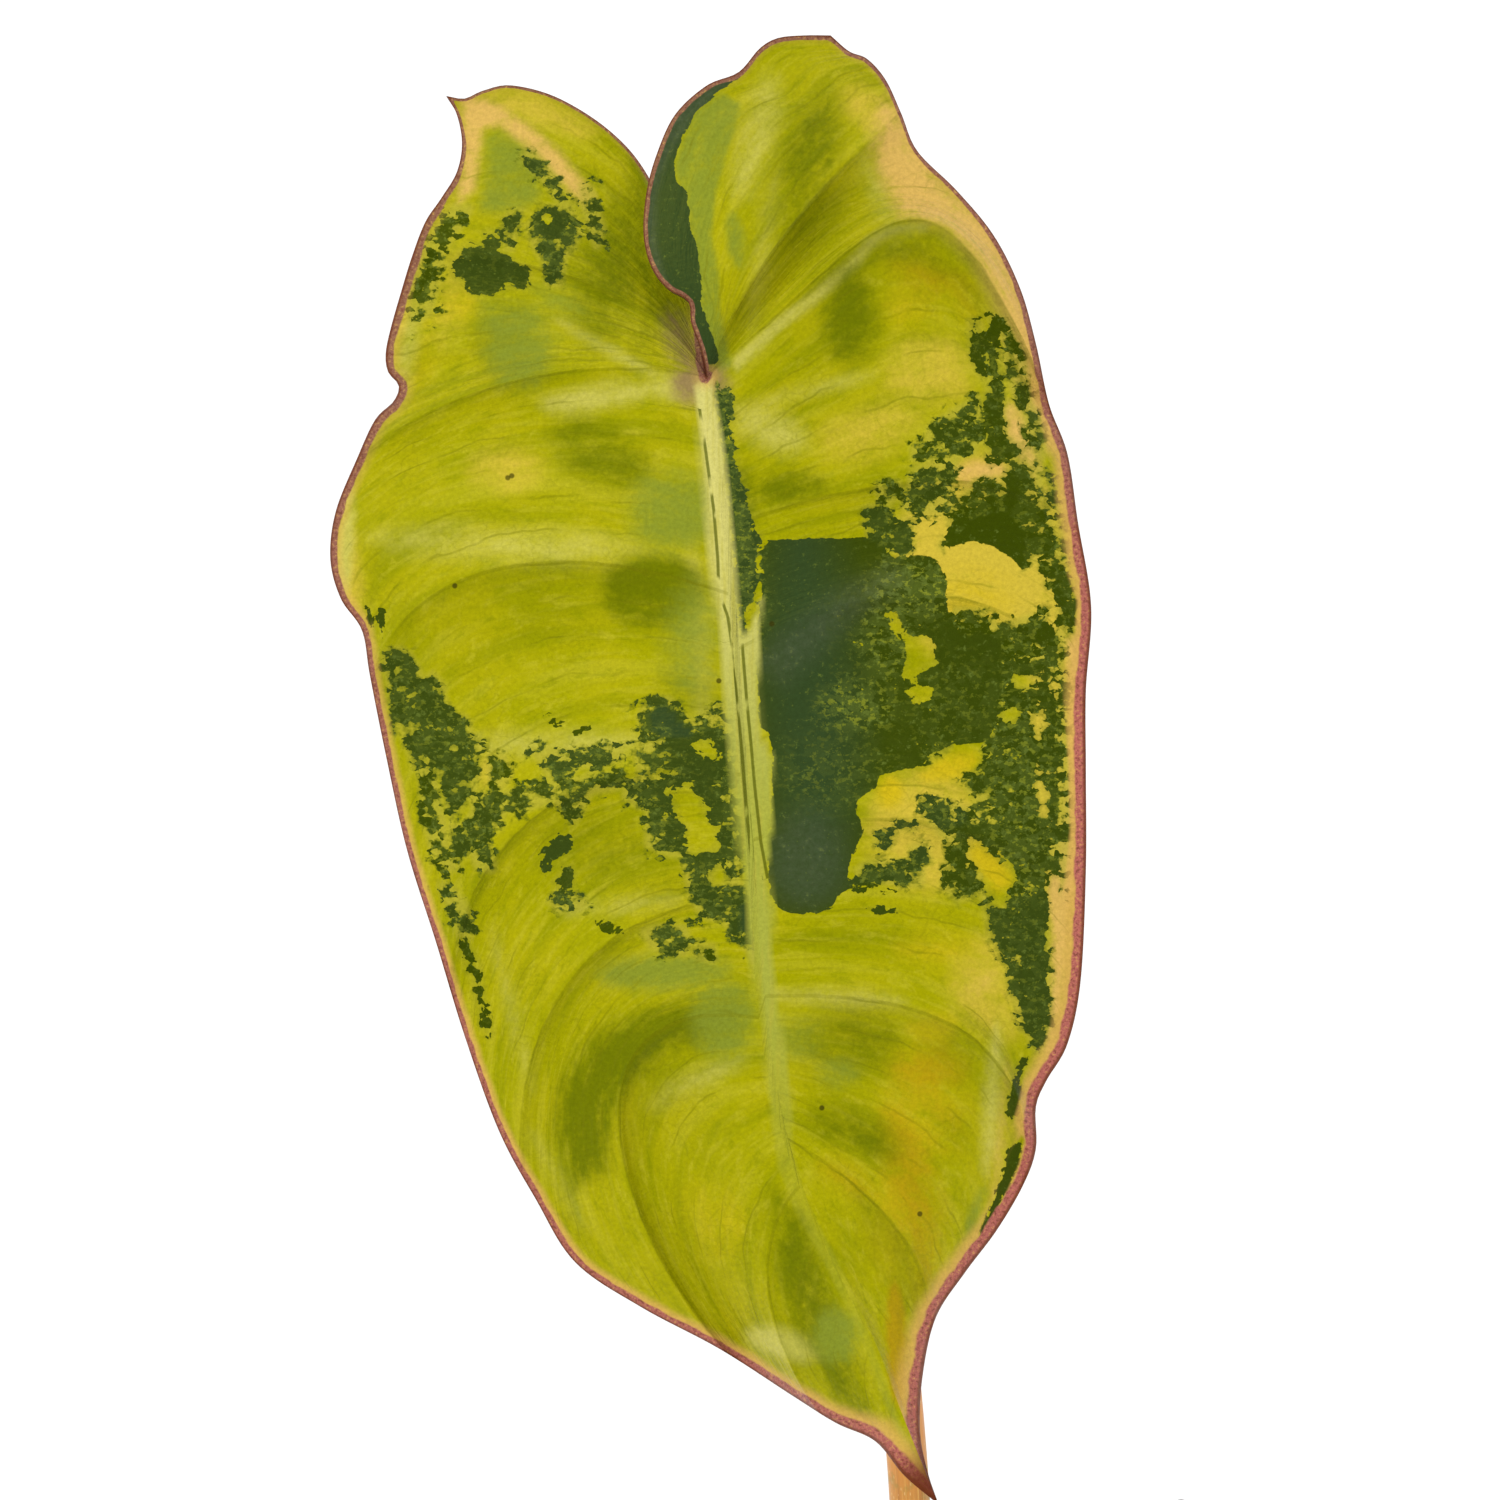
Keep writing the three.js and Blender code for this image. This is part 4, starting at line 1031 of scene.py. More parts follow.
# %% Midrib band, hairlines and specks
RIB_BAND = [
    (696, 383), (714, 381), (722, 452), (729, 507), (734, 566), (738, 619), (747, 640), (761, 600),
    (758, 690), (762, 738), (772, 758), (772, 830), (767, 870), (773, 912), (772, 960), (779, 1010),
    (786, 1060), (793, 1105), (792, 1150), (806, 1200), (834, 1254), (864, 1318), (888, 1390),
    (906, 1440), (902, 1444), (882, 1394), (856, 1326), (824, 1262), (794, 1208), (778, 1165),
    (772, 1120), (766, 1060), (760, 1010), (753, 960), (747, 893), (740, 850), (733, 775), (727, 706),
    (720, 640), (711, 560), (704, 480), (698, 420),
]
HAIRLINES = {
    "hairline_left": [(699, 404), (706, 452), (714, 511), (718, 560), (719, 592), (728, 617),
                      (734, 658), (740, 718), (745, 794), (748, 832), (754, 882)],
    "hairline_right": [(742, 640), (747, 702), (751, 742), (755, 788), (761, 842), (768, 880)],
}
SPECKS = [(508, 478), (512, 476), (719, 681), (920, 1214), (822, 1108), (772, 624), (455, 586)]
print(len(HAIRLINES), "hairlines on the midrib and", len(SPECKS), "specks")

# %% [markdown]
# The red margin is a band of its own, wider on the right, brown at the lobes and pink lower down. A
# crease of shade lies just under each main vein. All three change down the leaf, so each list has
# one number for each main vein: the band's width in millimetres, how pink it is, and how strong the
# shade is.

# %% Margin and creases
CREASE_START = (0.12, 0.4)  # how far out from the midrib the shade comes up
CREASE_WIDTH = 0.3  # in panels
MARGIN_WIDTH = {
    "left": [0.5, 1.6, 1.5, 1.1, 1.0, 1.1, 1.3, 1.4, 3],
    "right": [0.9, 0.6, 1.2, 1.8, 2.1, 2.1, 2.2, 2.1, 3],
}
BLUSH = {
    "left": [0, 0, 0.1, 0.3, 0.5, 0.6, 0.7, 0.7, 1],
    "right": [0, 0.1, 0.2, 0.7, 1, 1, 0.9, 0.9, 0.8],
}
# painted shade just under each main vein
CREASE_SHADE = {
    "left": [0, 0.15, 0.2, 0.35, 0.25, 0.3, 0.3, 0.4, 0],
    "right": [0, 0.1, 0.5, 0.3, 0.25, 0.3, 0.4, 0.5, 0],
}


def by_side(lists, across, down):
    """A number that changes down the leaf, from one list for each side."""
    veins = np.arange(PANELS + 1)
    both = [np.interp(down, veins, lists[side]) for side in ("left", "right")]
    return np.where(across < 0, *both)


def margin_fields(mesh, widths=MARGIN_WIDTH, blush=BLUSH, crease_shade=CREASE_SHADE):
    """Keeps the margin's two fields and gives the painted shade under the veins, which every leaf has.
    """
    across, down, edge = (read_field(mesh, name) for name in ("across", "down", "edge"))
    margin = edge / by_side(widths, across, down)
    keep_fields(mesh, {"margin": margin, "blush": by_side(blush, across, down)})
    above = np.floor(down)
    strength = by_side(crease_shade, across, above) * smooth(np.abs(across), *CREASE_START)
    return strength * np.exp(-(((down - above) / CREASE_WIDTH) ** 2))


print("the margin is up to", max(MARGIN_WIDTH["right"][:-1]), "mm wide before the tip")

# %% [markdown]
# ## From outlines to fields
# For every corner of the mesh the depth inside the nearest patch is worked out once. A depth in
# millimetres is better than a painted mask: between two corners it changes evenly, so a finish that
# compares it with zero draws an edge much sharper than the mesh, and can shift it by noise.

# %% Fields of the large leaf
CLEAN = 0.45  # a patch less ragged than this stays clean inside a ragged one
FAR_OUTSIDE = -50.0  # the depth where no patch is near
OFF_THE_LINE = 9
BAND_SOFTNESS = 0.5


def flat_spots(mesh):
    return np.stack([read_field(mesh, "flat_x"), read_field(mesh, "flat_y")], -1)


def laid_patches(patches, spots, clean=0):
    """How deep each spot lies in the patches, and how ragged and how grey they are there."""
    depth = np.full(len(spots), FAR_OUTSIDE)
    ragged, grey = np.zeros(len(spots)), np.zeros(len(spots))
    for own_half, rough, cool, outline in patches:
        here = depth_inside(outline, spots)
        clean_inside = (rough < clean) & (here > clean)
        nearer = own_half & ((here > depth) | clean_inside)
        depth = np.where(nearer, np.maximum(here, depth), depth)
        ragged = np.where(nearer, rough, ragged)
        grey = np.where(nearer, cool, grey)
    return depth, ragged, grey


def dark_fields(spots, across):
    patches = []
    for own_half, dark in ((across < 0, DARK_LEFT), (across >= 0, DARK_RIGHT)):
        for rough, cool, outline in dark.values():
            patches.append((own_half, rough, cool, traced(outline)))
    depth, ragged, grey = laid_patches(patches, spots, CLEAN)
    for rough, outline in LIGHT_ISLANDS.values():
        outside = -depth_inside(traced(outline), spots)
        nearer = outside < depth
        depth = np.where(nearer, outside, depth)
        ragged = np.where(nearer, rough, ragged)
    return depth, ragged, grey


def tone_field(tones, spots):
    strongest = np.zeros(len(spots))
    for strength, softness, outline in tones:
        share = strength * smooth(depth_inside(traced(outline), spots), -softness, softness)
        strongest = np.maximum(strongest, share)
    return strongest


def off_line(points, spots):
    """How far spots lie to the right of a line that runs down the picture, in millimetres."""
    x, y = traced(points).T
    across = spots[:, 0] - np.interp(spots[:, 1], y[::-1], x[::-1])
    beyond = (spots[:, 1] > y[0]) | (spots[:, 1] < y[-1])
    return np.where(beyond, OFF_THE_LINE, across)


def picture_fields(mesh):
    spots = flat_spots(mesh)
    depth, ragged, grey = dark_fields(spots, read_field(mesh, "across"))
    tones = {name: tone_field(parts, spots) for name, parts in TONES.items()}
    # The painted shade under each main vein joins the olive tone.
    tones["olive"] = np.maximum(tones["olive"], margin_fields(mesh))
    tones["grey"] = np.maximum(tones["grey"], grey)
    band = depth_inside(traced(RIB_BAND), spots)
    tones["rib_band"] = smooth(band, -BAND_SOFTNESS, BAND_SOFTNESS)
    lines = {name: off_line(points, spots) for name, points in HAIRLINES.items()}
    keep_fields(mesh, {"dark": depth, "ragged": ragged, **tones, **lines})
    print(len(spots), "corners,", round(100 * float(np.mean(depth > 0))), "% of them dark")


print("fields can be worked out")

# %% [markdown]
# ## The leaf's finish
# Layer by layer, as in the leaf: a chartreuse ground with blotches and fine strands along the small
# veins, soft tones over it, then the dark green cells, then midrib, veins and margin. Specks are
# longer along the veins than across them, because cell families grow that way. The surface is
# satin, with low relief from the strands. The back shows the same layers, paler and duller.

# %% Colours of the leaves
GROUND = {
    "green": color(166, 164, 2), "yellow": color(176, 170, 8), "deep": color(136, 142, 1),
    "pale": color(196, 188, 44),
}
# Olive is partly painted shade, and pale partly painted highlight.
TONE_COLORS = {
    "butter": color(218, 191, 64), "gold": color(214, 186, 24), "ochre": color(184, 150, 14),
    "peach": color(232, 188, 100), "pale": color(204, 197, 88), "olive": color(104, 114, 1),
    "sage": color(136, 148, 44), "rose": color(150, 122, 84),
}
GREENS = {
    "olive": color(50, 66, 2), "grey": color(42, 66, 36), "thin": color(98, 108, 14),
    "worn": color(100, 116, 46), "lace": color(138, 146, 42), "halo": color(180, 172, 54),
    # the grey of the painted sheen, a painted reflection on the dark green
    "painted_sheen": color(92, 102, 82),
}
RIB_COLORS = {
    "upper": color(218, 210, 120), "lower": color(172, 176, 66), "streak": color(190, 180, 66),
}
REDS = {
    "inner": color(226, 178, 92), "brown": color(150, 100, 84), "pink": color(192, 104, 100),
    # the pale grey of the painted highlight on the rolled lobe edge
    "grain": color(116, 58, 48), "edge": color(112, 50, 38), "painted_sheen": color(190, 182, 170),
    "tip": color(104, 34, 26),
}
VEIN_COLOR = color(118, 118, 8)
HAIRLINE_COLOR = color(92, 98, 16)
SPECK_COLOR = color(46, 40, 10)
BACK_COLOR = color(166, 172, 100)
STUDIO_SHARE = (0.77, 0.77, 0.77, 1.0)  # the light on the leaf is stronger than white
print(len(TONE_COLORS), "soft tones have colours")

# %% [markdown]
# The lowest layer is the chartreuse ground: wide clouds, a mottle of a few millimetres, and fine
# strands that run along the small veins, because their noise is stretched across the leaf's own
# coordinates. A soft tone's edge is eaten by one noise and its inside is thinned by another, so that
# no tone lies flat on the leaf.

# %% Ground, strands and soft tones
OTHER_FACE = 60.0  # how far the back's pattern lies from the front's, so that they differ
HALF_WIDTH = 72.0
PANEL_LENGTH = 34.0


def leaf_places_in_finish(leaf, size):
    """Places along the veins and on the flat leaf, in millimetres."""
    other_face = leaf.times(leaf.field("under"), OTHER_FACE)
    across = leaf.times(leaf.field("across"), HALF_WIDTH * size)
    down = leaf.times(leaf.field("down"), PANEL_LENGTH * size)
    grain = leaf.add("CombineXYZ", {0: across, 1: down, 2: other_face})
    places = {0: leaf.field("flat_x"), 1: leaf.field("flat_y"), 2: other_face}
    return grain, leaf.add("CombineXYZ", places)


def ground_tint(leaf, grain, flat):
    tint = leaf.over(GROUND["green"], GROUND["yellow"], leaf.noise(flat, 17), 0.38, 0.62)
    wide = leaf.noise(leaf.stretch(grain, 0.12, 1, 1), 5, detail=4)
    tint = leaf.over(tint, GROUND["deep"], wide, 0.48, 0.68, most=0.55)
    tint = leaf.over(tint, GROUND["pale"], wide, 0.46, 0.3, most=0.4)
    mottle = leaf.noise(leaf.stretch(grain, 0.55, 1, 1), 2.8, detail=5, uneven=0.68)
    tint = leaf.over(tint, GROUND["deep"], mottle, 0.53, 0.68, most=0.5)
    tint = leaf.over(tint, GROUND["pale"], mottle, 0.46, 0.32, most=0.45)
    fine = leaf.noise(leaf.stretch(grain, 0.16, 1, 1), 1.5, detail=3)
    tint = leaf.over(tint, GROUND["pale"], fine, 0.5, 0.72, most=0.35)
    return tint, fine


def soft_tones(leaf, grain, flat, tint):
    uneven = leaf.noise(leaf.stretch(grain, 0.35, 1, 1), 3.2, detail=5, uneven=0.62)
    broken = leaf.noise(flat, 1.7, detail=4, uneven=0.65)
    both = leaf.math("MULTIPLY_ADD", broken, 0.9, leaf.times(uneven, 1.5))
    held = leaf.math("SUBTRACT", both, 0.2)
    # Olive here is partly painted shade, and pale partly painted highlight.
    for name, tone in TONE_COLORS.items():
        strength = leaf.times(leaf.field(name), held)
        tint = leaf.over(tint, tone, strength, 0.12, 0.95, most=0.92)
    return tint


def fine_veins(leaf, flat, tint):
    """Small veins, as thin wavering lines between the main ones."""
    waver = leaf.math("MULTIPLY_ADD", leaf.noise(flat, 9), 3.6, -1.8)
    off = leaf.math("ABSOLUTE", leaf.math("ADD", leaf.field("fine_vein"), waver))
    shown = leaf.step(leaf.noise(flat, 12), 0.42, 0.62, end=0.42)
    line = leaf.times(leaf.step(off, 0.34, 0.08), shown)
    bent = leaf.add("TexNoise", {"Vector": flat, "Scale": 0.5, "Detail": 2.0}, 1)
    shift = {0: bent, 1: (2.4, 2.4, 0), 2: flat}
    bent = leaf.add("VectorMath", shift, operation="MULTIPLY_ADD")
    walls = leaf.cells(leaf.stretch(bent, 0.7, 1, 1), 2.3, feature="DISTANCE_TO_EDGE")
    net = leaf.times(leaf.step(walls, 0.07, 0.01, end=0.4), shown)
    line = leaf.math("MAXIMUM", line, net)
    return leaf.blend(line, tint, VEIN_COLOR), line


print("the ground has", len(GROUND), "colours")

# %% [markdown]
# Over it lie the dark green cells. Where a patch is ragged, the depth inside it is shifted by a
# coarse noise and by a number that each small family of cells has for itself, then compared with
# zero: so the patch breaks up into angular specks. Close outside that line the green is thin, and
# ragged patches stand in a pale halo. Inside, flecks of lighter green show between the families.

# %% Dark green layer
def ragged_depth(leaf, flat):
    bent = leaf.add("TexNoise", {"Vector": flat, "Scale": 0.9, "Detail": 2.0}, 1)
    bent = leaf.add("VectorMath", {0: bent, 1: flat}, operation="ADD")
    families = leaf.cells(leaf.stretch(bent, 0.6, 1, 1), 1.15, result=1)
    coarse = leaf.noise(leaf.stretch(flat, 0.85, 1, 1), 2.6, detail=3, uneven=0.6)
    wander = leaf.math("MULTIPLY_ADD", coarse, 5.5, leaf.math("MULTIPLY_ADD", families, 2.4, -3.95))
    capped = leaf.math("MINIMUM", leaf.field("dark"), 1.0)
    return leaf.math("MULTIPLY_ADD", wander, leaf.field("ragged"), capped), families


def dark_layer(leaf, grain, flat, tint):
    depth, families = ragged_depth(leaf, flat)
    lacy = leaf.step(leaf.field("ragged"), 0.4, 1.2)
    near = leaf.times(leaf.step(leaf.field("dark"), -1.6, 0.2, end=0.7), lacy)
    tint = leaf.blend(near, tint, GREENS["halo"])
    thin = leaf.times(leaf.step(depth, -1.0, 0.0, end=0.7), lacy)
    tint = leaf.blend(thin, tint, GREENS["thin"])
    green = leaf.blend(leaf.field("grey"), GREENS["olive"], GREENS["grey"])
    patchy = leaf.noise(flat, 1.5, detail=4, uneven=0.7)
    loose = leaf.math("MAXIMUM", leaf.times(lacy, 0.5), leaf.field("worn"))
    wear = leaf.math("MULTIPLY_ADD", loose, 0.1, patchy)
    green = leaf.over(green, GREENS["worn"], wear, 0.58, 0.72, most=0.75)
    light_family = leaf.times(leaf.step(families, 0.6, 0.5, end=0.4), loose)
    green = leaf.blend(light_family, green, GREENS["worn"])
    gaps = leaf.noise(leaf.stretch(flat, 0.75, 1, 1), 1.15, detail=3, uneven=0.65)
    gaps = leaf.times(leaf.step(gaps, 0.54, 0.6), loose)
    green = leaf.blend(leaf.times(gaps, 0.75), green, GREENS["lace"])
    # A painted sheen, standing for a reflection, greys the dark green where the sheen field lies.
    sheen = leaf.times(leaf.field("painted_sheen"), leaf.step(patchy, 0.3, 0.7, start=0.2, end=0.5))
    green = leaf.blend(sheen, green, GREENS["painted_sheen"])
    green = leaf.over(green, GREENS["worn"], leaf.cells(flat, 1.3), 0.14, 0.05, most=0.45)
    return leaf.over(tint, green, depth, -0.08, 0.08)


print(len(GREENS), "colours in the dark layer")

# %% [markdown]
# On top come the midrib with its hairlines, the main veins, and the red margin: a dusty band with a
# dark outer line and a peach inner one.

# %% Midrib, veins and margin
BAND_TURNS_GREEN = (-20, -90)  # places down the flat blade, as in the next line
BAND_FADES = (-156, -110)


def line_mask(leaf, name, half, strength, breaks):
    off = leaf.math("ABSOLUTE", leaf.field(name))
    return leaf.times(leaf.step(off, half * 1.4, half * 0.6, end=strength), breaks)


def rib_and_veins(leaf, flat, tint, hairlines):
    streaks = leaf.noise(leaf.stretch(flat, 1, 0.08, 1), 0.9, detail=3)
    height = leaf.field("flat_y")
    band = leaf.over(RIB_COLORS["upper"], RIB_COLORS["lower"], height, *BAND_TURNS_GREEN)
    band = leaf.over(band, RIB_COLORS["streak"], streaks, 0.45, 0.7, most=0.45)
    fade = leaf.step(height, *BAND_FADES, start=0.2)
    tint = leaf.blend(leaf.times(leaf.field("rib_band"), fade), tint, band)
    breaks = leaf.step(leaf.noise(leaf.stretch(flat, 1, 0.5, 1), 4), 0.36, 0.46)
    for name in hairlines:
        tint = leaf.blend(line_mask(leaf, name, 0.3, 0.85, breaks), tint, HAIRLINE_COLOR)
    off_dark = leaf.step(leaf.field("dark"), 0, -1)
    clear = leaf.times(leaf.step(leaf.field("edge"), 3, 12), off_dark)
    veins = line_mask(leaf, "vein", 0.35, 0.3, clear)
    return leaf.blend(veins, tint, VEIN_COLOR), veins


def margin_layer(leaf, flat, tint):
    uneven = leaf.math("MULTIPLY_ADD", leaf.noise(flat, 4, detail=3), 0.7, -0.35)
    off = leaf.math("ADD", leaf.field("margin"), uneven)
    # The inner line turns pale grey where the painted highlight lies along the rolled lobe edge.
    inner = leaf.blend(leaf.field("painted_sheen"), REDS["inner"], REDS["painted_sheen"])
    shown = leaf.step(leaf.field("blush"), -0.2, 0.6, end=0.85)
    shown = leaf.times(shown, leaf.step(leaf.field("dark"), 0.4, -0.4))
    tint = leaf.blend(leaf.times(leaf.step(off, 2.4, 1.0), shown), tint, inner)
    red = leaf.blend(leaf.field("blush"), REDS["brown"], REDS["pink"])
    grains = leaf.noise(flat, 0.7, detail=4, uneven=0.75)
    red = leaf.over(red, REDS["grain"], grains, 0.5, 0.62, most=0.75)
    red = leaf.over(red, REDS["inner"], grains, 0.46, 0.36, most=0.55)
    red = leaf.over(red, REDS["edge"], leaf.field("margin"), 0.4, 0.15, most=0.85)
    return leaf.over(tint, red, off, 1.1, 0.85)


print(len(REDS), "colours at the margin")

# %% [markdown]
# Last come the dark red drip tip and a few dry specks, each at its own place, and then all layers are
# joined. A fine grain over the whole leaf stands for its single cells. What is the same all over,
# such as the strength of the gloss, is set on the shader itself and not linked.

# %% Tip, specks and the whole finish
TIP_START = 14  # how far from the tip its red begins, and where it is full
TIP_FULL = 5
SPECK_RIM = (0.65, 0.35)  # how far from its middle a speck begins and is full
DARKEST_GRAIN = (0.66, 0.66, 0.66, 1.0)
LIGHTEST_GRAIN = (1.34, 1.34, 1.34, 1.0)


def red_tip(leaf, plan, tint):
    size = plan["size"]
    tip_x, tip_y = plan["midrib"][-1]
    across = leaf.math("SUBTRACT", leaf.field("flat_x"), tip_x * size)
    down = leaf.math("SUBTRACT", leaf.field("flat_y"), tip_y * size)
    squares = leaf.math("MULTIPLY_ADD", across, across, leaf.times(down, down))
    gap = leaf.math("SQRT", squares)
    return leaf.over(tint, REDS["tip"], gap, TIP_START * size, TIP_FULL * size, most=0.9)


def specked(leaf, flat, tint, specks):
    for x, y in traced(specks) if specks else ():
        gap = leaf.add("VectorMath", {0: flat, 1: (x, y, 0)}, 1, operation="DISTANCE")
        tint = leaf.over(tint, SPECK_COLOR, gap, *SPECK_RIM, most=0.8)
    return tint


def leaf_finish(name, plan, hairlines=(), specks=()):
    leaf = Finish(name, roughness=0.38)
    grain, flat = leaf_places_in_finish(leaf, plan["size"])
    tint, strands = ground_tint(leaf, grain, flat)
    tint = soft_tones(leaf, grain, flat, tint)
    tint, small_veins = fine_veins(leaf, flat, tint)
    tint = dark_layer(leaf, grain, flat, tint)
    tint, veins = rib_and_veins(leaf, flat, tint, hairlines)
    tint = red_tip(leaf, plan, margin_layer(leaf, flat, tint))
    tint = specked(leaf, flat, tint, specks)
    tint = leaf.blend(leaf.times(leaf.field("under"), 0.45), tint, BACK_COLOR)
    mottle = leaf.blend(leaf.noise(flat, 0.8, detail=4, uneven=0.7), DARKEST_GRAIN, LIGHTEST_GRAIN)
    tint = leaf.blend(1.0, tint, mottle, "MULTIPLY")
    small_cells = leaf.cells(flat, 0.8)
    normal = leaf.relief(strands, 0.22)
    normal = leaf.relief(small_cells, 0.05, normal)
    normal = leaf.relief(veins, -0.1, normal)
    normal = leaf.relief(small_veins, -0.06, normal)
    tint = leaf.blend(1.0, tint, STUDIO_SHARE, "MULTIPLY")
    leaf.shader.inputs["Specular IOR Level"].default_value = 0.2
    leaf.shader.inputs["Specular Tint"].default_value = (0.95, 1.0, 0.05, 1.0)
    dull = leaf.math("MULTIPLY_ADD", leaf.field("under"), 0.15, 0.36)
    dull = leaf.math("MULTIPLY_ADD", strands, 0.1, dull)
    return leaf.done(tint, normal, dull)


large_finish = leaf_finish("large_leaf", LARGE_PLAN, HAIRLINES, SPECKS)
print("the leaf's finish has", len(large_finish.node_tree.nodes), "nodes")

# %% [markdown]
# ## The plant's leaves
# One table says where each leaf's blade is, how it is turned, and where its petiole starts in the
# stem and passes through. The two smaller leaves share a plainer outline at two sizes, because a
# young plant's leaves are alike until they are large.

# %% The three leaves
PLAIN_OUTLINE = {
    "midrib": [(0, 0), (1, -40), (-1, -90), (-2, -140), (0, -185), (2, -214)],
    "inner": {
        "left": [(0, 0), (-3, 10), (-7, 25), (-14, 40), (-25, 50), (-38, 54)],
        "right": [(0, 0), (3, 10), (6, 24), (13, 40), (24, 51), (36, 55)],
    },
    "outer": {
        "left": [
            (-38, 54), (-52, 46), (-61, 28), (-64, 5), (-62, -20), (-63, -45), (-60, -75),
            (-54, -105), (-45, -135), (-32, -165), (-15, -192), (-4, -206), (2, -214),
        ],
        "right": [
            (36, 55), (50, 48), (60, 30), (64, 6), (61, -18), (63, -42), (61, -72), (55, -102),
            (46, -133), (34, -162), (18, -190), (7, -205), (2, -214),
        ],
    },
    "laterals": {
        "left": [
            (0, 0, 115, 0.4, 0), (0, 0.12, 60, 0.4, 0.1), (0, 0.27, 18, 0.4, 0.2),
            (0.2, 0.42, 18, 0.45, 0.3), (0.38, 0.58, 12, 0.45, 0.3), (0.52, 0.72, 5, 0.45, 0.3),
            (0.66, 0.84, -5, 0.45, 0.3), (0.8, 0.92, -30, 0.4, 0.2), (1, 1, -60, 0.33, 0),
        ],
        "right": [
            (0, 0, 115, 0.4, 0), (0, 0.12, 60, 0.4, 0.1), (0, 0.27, 18, 0.4, 0.2),
            (0.17, 0.4, 18, 0.45, 0.3), (0.35, 0.56, 12, 0.45, 0.3), (0.5, 0.71, 5, 0.45, 0.3),
            (0.64, 0.83, -5, 0.45, 0.3), (0.78, 0.915, -30, 0.4, 0.2), (1, 1, -60, 0.33, 0),
        ],
    },
    "sag": {side: [2, 3, 4, 4, 3.5, 3, 2.5, 1.5] for side in ("left", "right")},
    "arch": 22,
    "droop": 14,
    "lobe_lift": {"left": 2, "right": 2},
    "lobe_roll": {"left": 0, "right": 0},
    "wave": {"left": (4, 3.2, 0.4), "right": (4, 2.9, 2.2)},
}
LEAVES = {
    "large": {
        "plan": LARGE_PLAN, "at": (-48, -100, 495), "facing": 0, "tilt": 15, "roll": 0,
        "rows": 304, "columns": 72, "knee": 1, "foot": (-1.5, -1.5, 139),
        "via": [(-1, -10, 205), (-11, -27, 300), (-28, -47, 400)], "radii": (7.2, 4.9, 4.4),
    },
    "middle": {
        "plan": PLAIN_OUTLINE | {"size": 0.62}, "at": (-10, 84, 352), "facing": 188, "tilt": 27,
        "roll": -6, "rows": 168, "columns": 44, "knee": 0.72, "foot": (0, 2.5, 128),
        "via": [(-1, 11, 190), (-4, 29, 250), (-8, 49, 295)], "radii": (5.6, 3.6, 3.1),
    },
    "small": {
        "plan": PLAIN_OUTLINE | {"size": 0.43}, "at": (80, -38, 200), "facing": 68, "tilt": 34,
        "roll": 8, "rows": 136, "columns": 36, "knee": 0.55, "foot": (1, 1, 118),
        "via": [(24, -9, 147), (50, -20, 168)], "radii": (4.2, 2.6, 2.3),
    },
}


def leaf_frame(leaf):
    """The leaf's frame: x to its right, y to its lobes and z out of its front."""
    place = Matrix.Translation(leaf["at"])
    for angle, axis in ((leaf["facing"], "Z"), (90 - leaf["tilt"], "X"), (leaf["roll"], "Z")):
        place = place @ Matrix.Rotation(math.radians(angle), 4, axis)
    return place


def grow_blade(name, finish):
    leaf = LEAVES[name]
    shape = blade_sheet(leaf["plan"], leaf["rows"], leaf["columns"])
    nodes = ["leaf_blade_" + name]
    return piece_from(shape, name + "_blade", finish, nodes, leaf_frame(leaf))


large_blade = grow_blade("large", large_finish)
picture_fields(large_blade.data)

# %% [markdown]
# The smaller leaves aren't in the picture, so their patches are drawn at random from a fixed seed:
# ovals that lie along the veins, some clean and some ragged, like those of the large leaf. The
# fields have the same names, so that the same finish reads them.

# %% Smaller leaves
SMALL_MARGIN = {"left": [0.9] * 9, "right": [0.9] * 9}
SMALL_BLUSH = {"left": [0.2] * 3 + [0.6] * 6, "right": [0.2] * 3 + [0.7] * 6}
# painted shade just under each main vein of the smaller leaves
SMALL_CREASE_SHADE = {side: [0.2, 0.4, 0.5, 0.5, 0.5, 0.5, 0.4, 0.3, 0] for side in ("left", "right")}
SMALL_TONES = {"olive": 9, "sage": 5, "pale": 6, "butter": 6, "worn": 8}  # patches of each
SMALL_TONE_SOFTNESS = 4
SMALL_RIB_BAND = (0.9, 1.9)  # how far from the midrib its band begins to fade and ends
# The next four are in millimetres on a leaf of full size.
OUT_FROM_MIDRIB = (6, 58)
UP_FROM_JOINT = (-190, 40)
LONGEST_DARK = 30
LONGEST_TONE = 26
RAGGEDNESS = (0.4, 0.8, 1.2, 1.8)


def drawn_patches(stream, count, longest, plan):
    """Ovals in the leaf's millimetres, each with its half, how ragged and how grey it is."""
    for _ in range(count):
        side = stream.choice((-1, 1))
        x = side * stream.uniform(*OUT_FROM_MIDRIB) * plan["size"]
        y = stream.uniform(*UP_FROM_JOINT) * plan["size"]
        length = stream.uniform(0.12, 1) ** 1.4 * longest * plan["size"]
        angles = np.radians(np.arange(0, 360, 20))
        lean = side * math.radians(stream.uniform(-35, 20))
        wobble = np.array([stream.uniform(0.5, 1.3) for _ in angles])
        out = length * np.cos(angles) * wobble
        up = length * stream.uniform(0.35, 0.8) * np.sin(angles) * wobble
        yield True, stream.choice(RAGGEDNESS), stream.random(), turned(x, y, out, up, lean)


